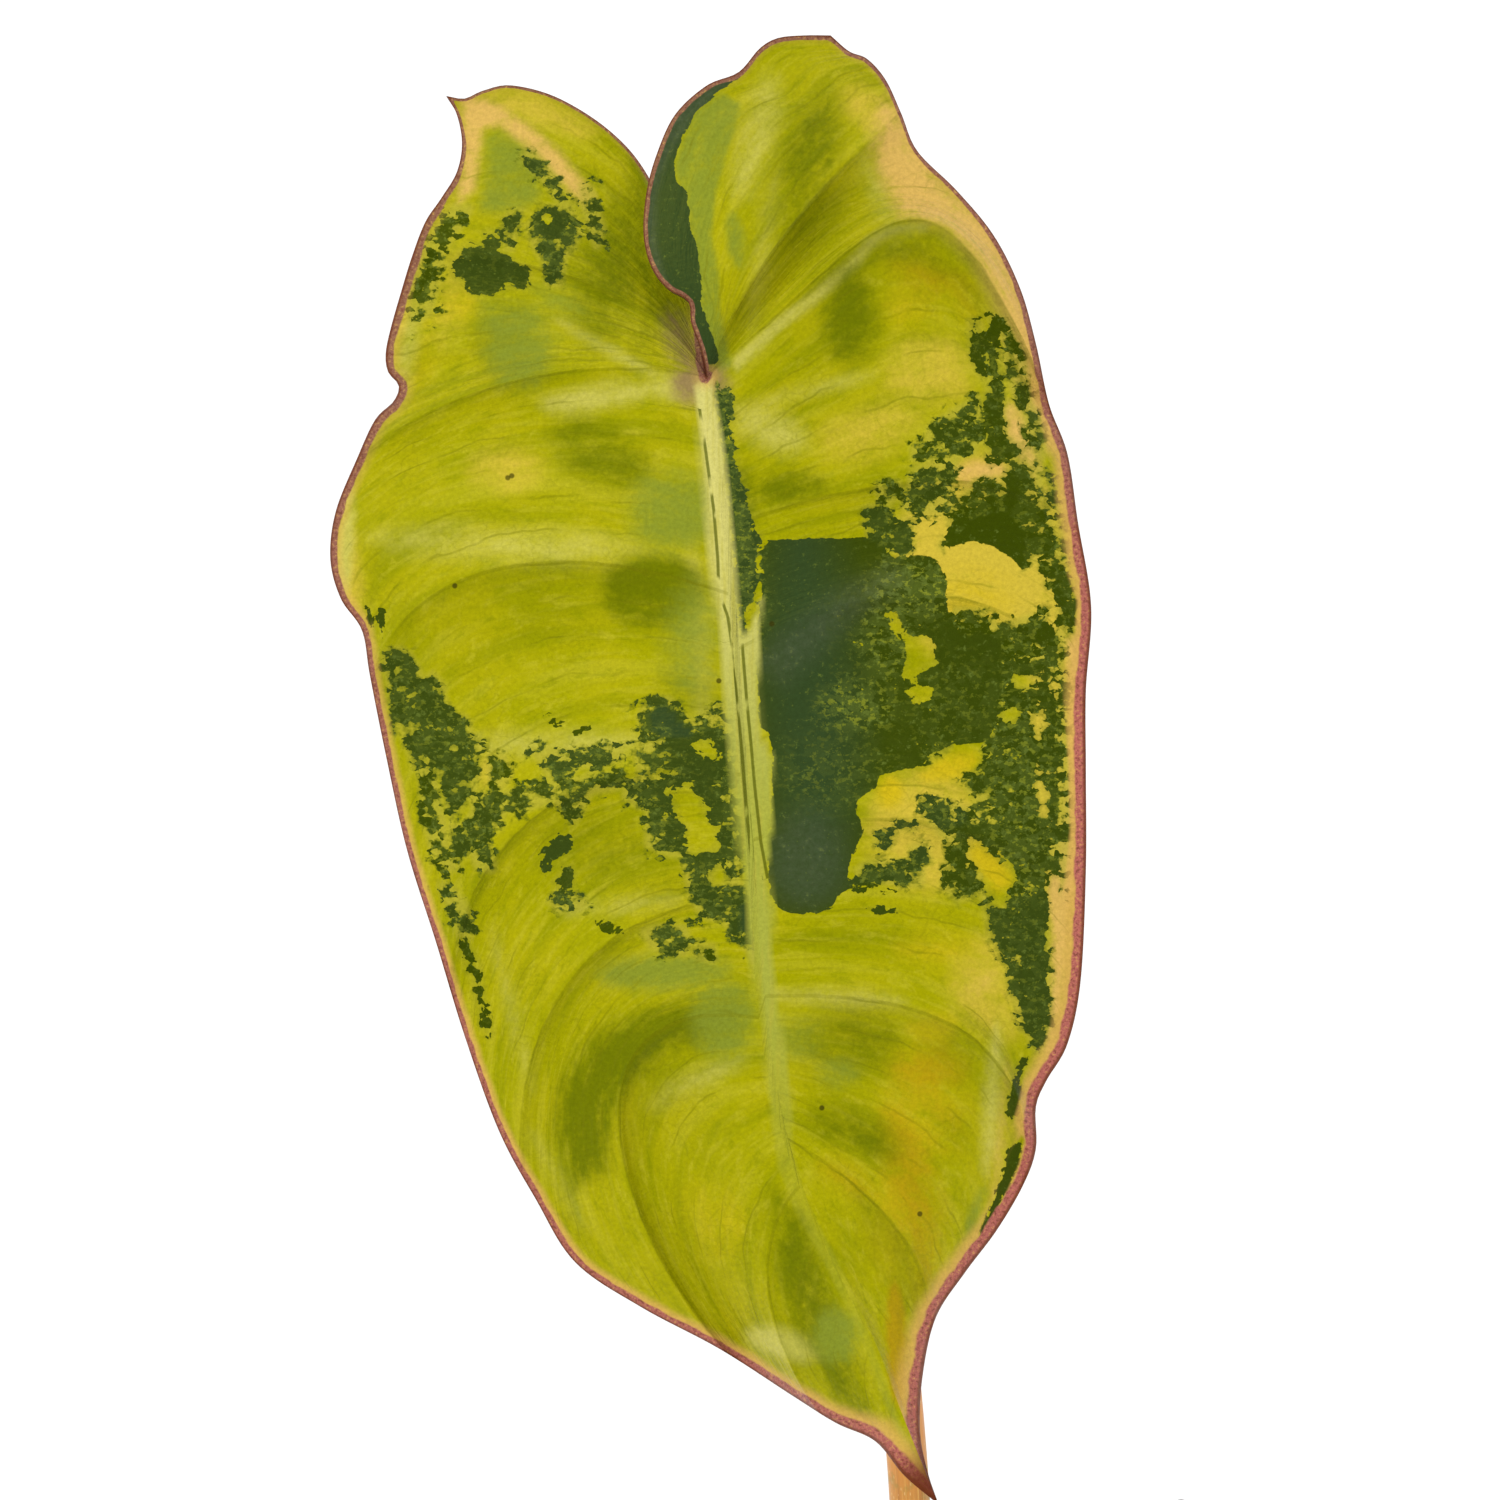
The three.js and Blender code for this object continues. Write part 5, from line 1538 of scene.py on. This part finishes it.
def drawn_fields(mesh, plan, seed, count):
    stream = random.Random(seed)
    spots = flat_spots(mesh)
    patches = drawn_patches(stream, count, LONGEST_DARK, plan)
    dark, ragged, grey = laid_patches(patches, spots)
    tones = {}
    for name, many in SMALL_TONES.items():
        patches = drawn_patches(stream, many, LONGEST_TONE, plan)
        nearest = np.max([depth_inside(patch, spots) for *_, patch in patches], axis=0)
        tones[name] = smooth(nearest, -SMALL_TONE_SOFTNESS, SMALL_TONE_SOFTNESS)
    # The painted shade under the veins joins the olive tone.
    crease_shade = margin_fields(mesh, SMALL_MARGIN, SMALL_BLUSH, SMALL_CREASE_SHADE)
    tones["olive"] = np.maximum(tones["olive"], crease_shade)
    tones["rib_band"] = 1 - smooth(read_field(mesh, "rib"), *SMALL_RIB_BAND)
    keep_fields(mesh, {"dark": dark, "ragged": ragged, "grey": grey, **tones})


for name, seed, count in (("middle", 31, 30), ("small", 12, 24)):
    plan = LEAVES[name]["plan"]
    blade = grow_blade(name, leaf_finish(name + "_leaf", plan))
    drawn_fields(blade.data, plan, seed, count)

# %% [markdown]
# ## Round parts
# Petioles, midribs, roots and stem are round bars that bend. Each is a flat grid rolled into a tube:
# its columns go round and its rows go along a smooth line, so every corner knows its place on the
# straight, unrolled bar. Finishes read that place, and their streaks then follow each bend. The
# bar's side is carried along the line ring by ring, which keeps the streaks from twisting.

# %% Tubes
FIRST_SIDE = (0.2, 1, 0.3)


def sides_along(line, steps):
    """The direction of the line and of one side of a bar on it, at each ring."""
    ways = line.way(np.linspace(0, 1, steps + 1))
    side = np.array(FIRST_SIDE)
    sides = []
    for way in ways:
        side = side - way * (side @ way)
        side /= np.linalg.norm(side)
        sides.append(side)
    return ways, np.array(sides)


def tube(points, radius_at, sides, steps):
    line = Line(points)
    shape = bmesh.new()
    bmesh.ops.create_grid(shape, x_segments=sides, y_segments=steps, size=1)
    spots = corner_places(shape)
    turn = np.pi * (spots[:, 0] + 1)
    share = ((spots[:, 1] + 1) / 2).clip(0, 1)
    ways, firsts = sides_along(line, steps)
    ring = np.round(share * steps).astype(int)
    side = firsts[ring]
    front = np.cross(ways[ring], side)
    radius = radius_at(share, turn)
    out = side * np.cos(turn)[:, None] + front * np.sin(turn)[:, None]
    places = line.at(share) + out * radius[:, None]
    broad = radius.max()
    straight = np.stack([broad * np.cos(turn), broad * np.sin(turn), share * line.length], -1)
    lay_corners(shape, places, {"share": share, "straight": straight})
    bmesh.ops.remove_doubles(shape, verts=shape.verts[:], dist=0.002)
    rims = [edge for edge in shape.edges if edge.is_boundary]
    bmesh.ops.holes_fill(shape, edges=rims, sides=0)
    bmesh.ops.recalc_face_normals(shape, faces=shape.faces[:])
    return shape


def three_way(radii, middle, share):
    return np.interp(share, [0, middle, 1], radii)


def round_tip(share, start):
    """1 along a bar, closing to almost 0 in a round tip that begins at start."""
    closing = ((share - start) / (1 - start)).clip(0, 0.999)
    return np.sqrt(1 - closing**2)


print("round parts can be rolled")

# %% [markdown]
# ## Petioles
# The petioles of this plant are its mark: orange, with fine lengthwise streaks, dull green at the
# foot, and with a shallow groove. Behind the blade the petiole bends over and runs on as the
# midrib, a ridge that fades to the leaf's own yellow towards the tip.

# %% Petiole finish
def bar_places(skin):
    straight = skin.field("straight", 1)
    return straight, skin.stretch(straight, 1, 1, 0.06)


def petiole_finish(name, foot_color, body_color, end_color):
    skin = Finish(name, roughness=0.42)
    straight, drawn = bar_places(skin)
    share = skin.field("share")
    tint = skin.over(foot_color, body_color, share, 0.0, 0.3)
    tint = skin.over(tint, end_color, share, 0.55, 1.0)
    broad = skin.noise(drawn, 3.2, detail=3)
    tint = skin.over(tint, color(160, 92, 38), broad, 0.5, 0.68, most=0.55)
    fine = skin.noise(drawn, 0.9, detail=3)
    tint = skin.over(tint, color(228, 178, 92), fine, 0.5, 0.7, most=0.6)
    flecks = skin.cells(skin.stretch(straight, 1, 1, 0.4), 1.3)
    tint = skin.over(tint, color(236, 204, 140), flecks, 0.22, 0.1, most=0.5)
    worn = skin.noise(straight, 14, detail=4, uneven=0.6)
    tint = skin.over(tint, color(146, 128, 44), worn, 0.56, 0.66, most=0.5)
    normal = skin.relief(fine, 0.16)
    normal = skin.relief(skin.noise(straight, 0.5), 0.03, normal)
    return skin.done(tint, normal, skin.math("MULTIPLY_ADD", fine, 0.2, 0.32))


petiole_skin = petiole_finish(
    "petiole_skin", color(150, 132, 48), color(212, 138, 52), color(196, 104, 54)
)
rib_skin = petiole_finish("rib_skin", color(196, 110, 56), color(202, 164, 76), color(180, 180, 84))
print("petiole and rib finishes made")

# %% [markdown]
# Two bars meet at the knee behind each blade: the petiole from the stem, and the one that bends over
# and runs down the back as the midrib. The second is laid in the leaf's own frame and sunk a little
# into the sheet, so it turns with the blade. The petiole's groove is a dip in its radius.

# %% Petioles and midribs
KNEE = [(3.2, -7.5, -26), (1.2, 0.5, -17), (0.4, 3.5, -10.5)]
KNEE_RUN = 22
SEAT_GAP = 0.3
RIB_TIP = 0.55
RIB_SUNK = 0.38
RIB_COVER = 0.8
RIB_SHARES = np.array([0.03, 0.13, 0.27, 0.42, 0.57, 0.72, 0.86, 0.97])
RIB_FULL = 0.06  # the share of the second bar that keeps its full radius
GROOVE = 0.16
GROOVE_START = (0.02, 0.3)
GROOVE_END = (0.85, 1)
FOOT_SHARE = 0.16  # where the petiole's broad foot ends


def rib_shape(leaf):
    plan, top = leaf["plan"], leaf["radii"][2]
    spots = Line(plan["midrib"]).at(RIB_SHARES)
    radius = top + (RIB_TIP - top) * np.minimum(1, RIB_SHARES * 1.1)
    bottom = np.full(len(spots), float(PANELS))
    rise = leaf_height(plan, "right", 0 * RIB_SHARES, bottom, spots[:, 1])
    spots = lifted(plan, spots, rise)
    spots[:, 2] -= THICKNESS + radius * (1 - RIB_SUNK) + RIB_COVER * leaf["knee"]
    path = [*(np.array(KNEE) * leaf["knee"]), *spots]

    def radius_at(share, turn):
        return top + (RIB_TIP - top) * smooth(share, RIB_FULL, 1) ** 0.7

    return tube(path, radius_at, sides=32, steps=220)


def petiole_shape(leaf):
    place = leaf_frame(leaf)
    end, after = (place @ (Vector(spot) * leaf["knee"]) for spot in KNEE[:2])
    away = (end - after).normalized()
    upper = end + away * SEAT_GAP
    lower = upper + away * KNEE_RUN * leaf["knee"]
    path = [leaf["foot"], *leaf["via"], lower, upper]

    def radius_at(share, turn):
        groove = GROOVE * np.cos(turn).clip(0, 1) ** 2 * smooth(share, *GROOVE_START)
        groove *= 1 - smooth(share, *GROOVE_END)
        return three_way(leaf["radii"], FOOT_SHARE, share) * (1 - groove)

    return tube(path, radius_at, sides=40, steps=200)


for name, leaf in LEAVES.items():
    node = "leaf_blade_" + name
    piece_from(rib_shape(leaf), name + "_rib", rib_skin, [node], leaf_frame(leaf))
    piece_from(petiole_shape(leaf), name + "_petiole", petiole_skin, ["petiole_" + name])

# %% [markdown]
# ## Stem and roots
# A short olive stem carries ring-shaped scars where older leaves sat. The scars are part of the
# tube's radius, and the same rings are kept as a field, so that the corky brown follows them. Three
# aerial roots leave the stem and go down into the mix.

# %% Stem and aerial roots
STEM_PATH = [(5, 6, 62), (3, 4, 92), (0.5, 1, 118), (-1, -1, 146)]
STEM_RADIUS = 9
STEM_TAPER = 1.2
SCARS_AT = [0.62, 0.74, 0.87]
SCAR_HEIGHT = 0.9
SCAR_WIDTH = 0.02
STEM_TOP = 0.95  # the share of its length where the top begins to close
ROOT_PATHS = [
    [(1, 1, 127), (-12, 6, 122), (-22, 13, 110), (-25, 16, 94)],
    [(0, 0, 121), (9, 14, 117), (13, 25, 106), (14, 29, 92)],
    [(1, 1, 119), (-6, -13, 115), (-9, -23, 106), (-10, -27, 93)],
]
ROOT_RADII = (2.3, 1.7)


def scars(share):
    return sum(np.exp(-(((share - at) / SCAR_WIDTH) ** 2)) for at in SCARS_AT)


def stem_radius(share, turn):
    closing = round_tip(share, STEM_TOP)
    return (STEM_RADIUS - STEM_TAPER * share + SCAR_HEIGHT * scars(share)) * closing


def root_radius(share, turn):
    knobs = 1 + 0.06 * np.sin(37 * share + 2 * np.sin(9 * share))
    return (ROOT_RADII[0] + (ROOT_RADII[1] - ROOT_RADII[0]) * share) * knobs


def bark_finish(name, light, dark, cork):
    skin = Finish(name, roughness=0.6)
    straight, drawn = bar_places(skin)
    broad = skin.noise(skin.stretch(straight, 1, 1, 0.35), 6, detail=4, uneven=0.6)
    tint = skin.over(light, dark, broad, 0.4, 0.62)
    fine = skin.noise(drawn, 1.1, detail=3)
    tint = skin.over(tint, cork, fine, 0.5, 0.7, most=0.5)
    tint = skin.over(tint, cork, skin.field("scar"), 0.15, 0.6)
    dots = skin.cells(skin.stretch(straight, 1, 1, 0.5), 1.6)
    tint = skin.over(tint, color(190, 174, 130), dots, 0.25, 0.1, most=0.6)
    normal = skin.relief(fine, 0.3)
    normal = skin.relief(broad, 0.3, normal)
    return skin.done(tint, normal, skin.math("MULTIPLY_ADD", fine, 0.3, 0.45))


stem_skin = bark_finish("stem_skin", color(122, 130, 58), color(92, 104, 42), color(140, 104, 68))
root_skin = bark_finish("root_skin", color(168, 132, 92), color(128, 92, 62), color(98, 70, 50))
stem_node = ["stem_with_aerial_roots"]
stem_shape = tube(STEM_PATH, stem_radius, sides=64, steps=200)
stem = piece_from(stem_shape, "stem", stem_skin, stem_node)
keep_fields(stem.data, {"scar": scars(read_field(stem.data, "share"))})
for number, path in enumerate(ROOT_PATHS, 1):
    shape = tube(path, root_radius, sides=24, steps=70)
    piece_from(shape, f"aerial_root_{number}", root_skin, stem_node)

# %% [markdown]
# ## The new leaf
# The newest leaf comes rolled up tight out of a thin sheath, which dries pink-brown. The sheath is
# a tube with two low keels. The roll shows the edge of the blade as a line that winds up it, which
# is a small step in the tube's radius.

# %% Sheath and rolled leaf
SHEATH_PATH = [(-1, -1, 138), (5, 0, 158), (10.5, 1, 178), (13, 1, 190)]
SHEATH_RADII = (5.2, 4.6, 2.2)
MOUTH = 0.66
ROLL_RADII = (2.3, 0.5)
ROLL_SUNK = 4
ROLL_LENGTH = 21
ROLL_LEAN = -7
ROLL_STEP = 0.16
ROLL_TWIST = 0.8


def sheath_radius(share, turn):
    keels = 1 + 0.07 * np.cos(2 * turn) * smooth(share, 0.1, 0.6)
    return three_way(SHEATH_RADII, 0.5, share) * keels * round_tip(share, 0.9)


def roll_share(share, turn):
    """How far round the roll a place is from its free edge."""
    return (turn / (2 * np.pi) + ROLL_TWIST * share) % 1


def roll_radius(share, turn):
    radius = ROLL_RADII[0] + (ROLL_RADII[1] - ROLL_RADII[0]) * share**2
    return radius * (1 - ROLL_STEP * smooth(roll_share(share, turn), 0.06, 0)) * round_tip(share, 0.97)


sheath_line = Line(SHEATH_PATH)
mouth, mouth_way = sheath_line.at(MOUTH), sheath_line.way(MOUTH)
roll_foot = mouth - ROLL_SUNK * mouth_way
roll_tip = mouth + ROLL_LENGTH * mouth_way + np.array([ROLL_LEAN, 0, 0])
roll_middle = (roll_foot + roll_tip) / 2 + np.array([ROLL_LEAN / 5, 0, 0])

sheath_skin = petiole_finish(
    "sheath_skin", color(170, 118, 92), color(206, 146, 118), color(178, 98, 84)
)
roll_skin = petiole_finish("rolled_leaf", color(196, 190, 92), color(190, 192, 60), color(206, 176, 110))
sheath_shape = tube(SHEATH_PATH, sheath_radius, sides=56, steps=120)
piece_from(sheath_shape, "leaf_sheath", sheath_skin, ["new_leaf_sheath"])
roll_shape = tube([roll_foot, roll_middle, roll_tip], roll_radius, sides=96, steps=80)
piece_from(roll_shape, "rolled_leaf", roll_skin, ["new_leaf_rolled"])

# %% [markdown]
# ## The pot
# A thrown pot is a turned shape, so its wall is a line of points spun once round. Its corners are
# rounded before the spin, while they are single points.

# %% Wall of the pot
POT_HEIGHT = 120
FOOT_RADIUS = 49
BAND_RADIUS = 70
BAND_FOOT = 96
BAND_STEP = 3.5
BAND_FLARE = 0.8
WALL = 5
POT_FLOOR = 7
FLOOR_RING = 36
ROUNDING = 1.3
TURNS = 160


def pot_radius(z):
    """The outer radius of the wall, below the band or carried on behind it."""
    return FOOT_RADIUS + (BAND_RADIUS - BAND_STEP - FOOT_RADIUS) * z / POT_HEIGHT


def wall_line(points):
    """A line of points at their radius and height, ready to be spun, and its corners."""
    shape = bmesh.new()
    corners = [shape.verts.new((radius, 0, z)) for radius, z in points]
    for first, second in zip(corners, corners[1:]):
        shape.edges.new((first, second))
    return shape, corners


def spin_once(shape, steps):
    bmesh.ops.spin(
        shape, geom=shape.verts[:] + shape.edges[:], cent=(0, 0, 0), axis=(0, 0, 1),
        angle=2 * math.pi, steps=steps, use_merge=True,
    )


POT_WALL = [
    (FLOOR_RING, 0), (FOOT_RADIUS, 0), (pot_radius(BAND_FOOT - 1), BAND_FOOT - 1),
    (BAND_RADIUS - BAND_FLARE, BAND_FOOT), (BAND_RADIUS, POT_HEIGHT),
    (pot_radius(POT_HEIGHT) - WALL, POT_HEIGHT), (pot_radius(POT_FLOOR) - WALL, POT_FLOOR),
    (FLOOR_RING, POT_FLOOR),
]
pot, corners = wall_line(POT_WALL)
bmesh.ops.bevel(
    pot, geom=corners[1:-1], offset=ROUNDING, offset_type="OFFSET", segments=4, profile=0.5,
    affect="VERTICES", material=-1,
)
spin_once(pot, TURNS)
print("the wall has", len(pot.faces), "faces")

# %% [markdown]
# The floor has four drain holes: a flat face is filled in between the wall and four circles, above
# and below, and each pair of circles is bridged to make a hole.

# %% Floor of the pot
DRAINS = 4
DRAIN_RADIUS = 4
DRAIN_RING = 28
rims = {0: [], POT_FLOOR: []}
for edge in pot.edges:
    if edge.is_boundary:
        rims[round(edge.verts[0].co.z)].append(edge)
for number in range(DRAINS):
    angle = (number + 0.5) * 2 * math.pi / DRAINS
    hole = []
    for z, rim in rims.items():
        centre = (DRAIN_RING * math.cos(angle), DRAIN_RING * math.sin(angle), z)
        circle = bmesh.ops.create_circle(
            pot, cap_ends=False, segments=32, radius=DRAIN_RADIUS, matrix=Matrix.Translation(centre)
        )
        ring = list({edge for vert in circle["verts"] for edge in vert.link_edges})
        rim.extend(ring)
        hole.extend(ring)
    bmesh.ops.bridge_loops(pot, edges=hole)
for rim in rims.values():
    bmesh.ops.triangle_fill(pot, edges=rim, use_beauty=True, use_dissolve=False)
bmesh.ops.recalc_face_normals(pot, faces=pot.faces[:])
print("the pot has", len(pot.faces), "faces, and", sum(e.is_boundary for e in pot.edges), "open edges")

# %% [markdown]
# Fired clay is matt and uneven: fine grog, faint throwing lines, darker and paler clouds from the
# kiln, and a bloom of lime where water dries out, at the foot and just under the rim.

# %% Clay finish
FOOT_LIME = (30, 14)  # heights between which the lime comes up
RIM_LIME = (104, 118)
clay = Finish("fired_clay", roughness=0.85)
here = clay.place()
height = clay.add("SeparateXYZ", {0: here}, 2)
clouds = clay.noise(here, 26, detail=5, uneven=0.6)
clay_tint = clay.over(color(172, 92, 62), color(204, 124, 88), clouds, 0.36, 0.66)
grog = clay.noise(here, 0.9, detail=3)
clay_tint = clay.over(clay_tint, color(150, 78, 54), grog, 0.55, 0.75, most=0.6)
specks = clay.cells(here, 2.2)
clay_tint = clay.over(clay_tint, color(226, 178, 146), specks, 0.16, 0.08, most=0.5)
lines = clay.noise(clay.stretch(here, 0.02, 0.02, 1), 1.6, detail=3)
clay_tint = clay.over(clay_tint, color(120, 66, 48), lines, 0.4, 0.7, most=0.18)
lime_edge = clay.math("MULTIPLY_ADD", clouds, 30.0, height)
foot_lime = clay.step(lime_edge, *FOOT_LIME)
lime = clay.math("MAXIMUM", foot_lime, clay.step(lime_edge, *RIM_LIME, end=0.6))
patchy = clay.step(clay.noise(here, 16, detail=6, uneven=0.7), 0.42, 0.7, end=0.4)
clay_tint = clay.blend(clay.times(lime, patchy), clay_tint, color(214, 176, 150))
clay_normal = clay.relief(lines, 0.35)
clay_normal = clay.relief(grog, 0.18, clay_normal)
pot_clay = clay.done(clay_tint, clay_normal, clay.math("MULTIPLY_ADD", grog, -0.2, 0.95))
piece_from(pot, "clay_pot", pot_clay, ["pot"])

# %% [markdown]
# ## The bark mix
# An open mix for climbers: bark chips and white perlite grains on a dark, crumbly ground. The ground
# is one more turned shape. It fills the pot to the floor, as the solid does, and ends in a low crown.

# %% Ground of the mix
MIX_FOOT = 7.3
MIX_TOP = 107
MIX_CROWN = 0.8
CROWN_START = 0.6  # the share of the radius where the crown begins
MIX_TURNS = 96
MIX_LIMIT = pot_radius(MIX_TOP) - WALL - SEAT_GAP
MIX_OUTSIDE = [
    (0, MIX_FOOT), (pot_radius(MIX_FOOT) - WALL - SEAT_GAP, MIX_FOOT), (MIX_LIMIT, MIX_TOP - 1),
    (MIX_LIMIT * CROWN_START, MIX_TOP + MIX_CROWN / 2), (0, MIX_TOP + MIX_CROWN),
]
mix = wall_line(MIX_OUTSIDE)[0]
spin_once(mix, MIX_TURNS)
bmesh.ops.remove_doubles(mix, verts=mix.verts[:], dist=0.01)
bmesh.ops.recalc_face_normals(mix, faces=mix.faces[:])

ground = Finish("mix_ground", roughness=0.95)
here = ground.place()
crumbs = ground.noise(here, 2.6, detail=5, uneven=0.65)
mix_tint = ground.over(color(38, 27, 20), color(86, 62, 44), crumbs, 0.35, 0.7)
mix_ground = ground.done(mix_tint, ground.relief(crumbs, 1.2))
mix_node = ["soil_bark_mix"]
piece_from(mix, "mix_ground", mix_ground, mix_node)

# %% [markdown]
# The lumps lie on that ground in one heap of each kind, at random from a fixed seed. There are
# hundreds, so each has only a few dozen faces: every cube is cut once, its corners are drawn towards
# a ball and pushed about, and then it is stretched, turned and dropped wherever the stem leaves room.

# %% Chips and grains
STEM_AT_MIX = Vector((1, 2))
CLEAR_OF_STEM = 11
LUMP_HEIGHTS = (-0.6, 2.2)  # of a lump's middle, from the top of the mix
LUMP_WIDTH = 0.62  # as a share of its length
LUMP_TILT = 0.6
LUMP_CORNERS = (0.78, 1.12)


def scatter(count, smallest, largest, flatness, seed):
    """Uneven lumps on top of the mix, as one shape."""
    stream = random.Random(seed)
    heap = bmesh.new()
    laid = 0
    while laid < count:
        size = stream.uniform(smallest, largest)
        radius = math.sqrt(stream.random()) * (MIX_LIMIT - size * 0.6)
        angle = stream.uniform(0, 2 * math.pi)
        spot = Vector((radius * math.cos(angle), radius * math.sin(angle)))
        if (spot - STEM_AT_MIX).length < CLEAR_OF_STEM:
            continue
        height = MIX_TOP + stream.uniform(*LUMP_HEIGHTS)
        place = Matrix.Translation((*spot, height))
        for axis, most in (("Z", math.pi), ("X", LUMP_TILT), ("Y", LUMP_TILT)):
            place = place @ Matrix.Rotation(stream.uniform(-most, most), 4, axis)
        place = place @ Matrix.Diagonal((size, size * LUMP_WIDTH, size * flatness, 1))
        before = len(heap.verts)
        cube = bmesh.ops.create_cube(heap, size=1)["verts"]
        sides = list({edge for vert in cube for edge in vert.link_edges})
        bmesh.ops.subdivide_edges(heap, edges=sides, cuts=1, use_grid_fill=True)
        heap.verts.ensure_lookup_table()
        lump = heap.verts[before:]
        for vert in lump:
            vert.co *= stream.uniform(*LUMP_CORNERS) / max(0.7, 1.25 * vert.co.length)
        bmesh.ops.transform(heap, matrix=place, verts=lump)
        laid += 1
    return heap


def lump_finish(name, first, second, third, grain_size, depth):
    skin = Finish(name, roughness=0.9)
    at = skin.place()
    each = skin.noise(at, 9, detail=1)
    tint = skin.over(first, second, each, 0.35, 0.65)
    grain = skin.noise(skin.stretch(at, 1, 0.4, 1), grain_size, detail=4, uneven=0.6)
    tint = skin.over(tint, third, grain, 0.45, 0.7, most=0.7)
    return skin.done(tint, skin.relief(grain, depth), skin.math("MULTIPLY_ADD", each, -0.2, 0.98))


bark_skin = lump_finish("bark", color(92, 60, 38), color(126, 84, 52), color(54, 36, 25), 1.3, 0.5)
perlite_skin = lump_finish(
    "perlite", color(232, 229, 220), color(214, 208, 196), color(190, 180, 166), 0.8, 0.2
)
piece_from(scatter(330, 5, 14, 0.4, seed=5), "bark_chips", bark_skin, mix_node)
piece_from(scatter(90, 2.2, 5.5, 0.8, seed=8), "perlite_grains", perlite_skin, mix_node)
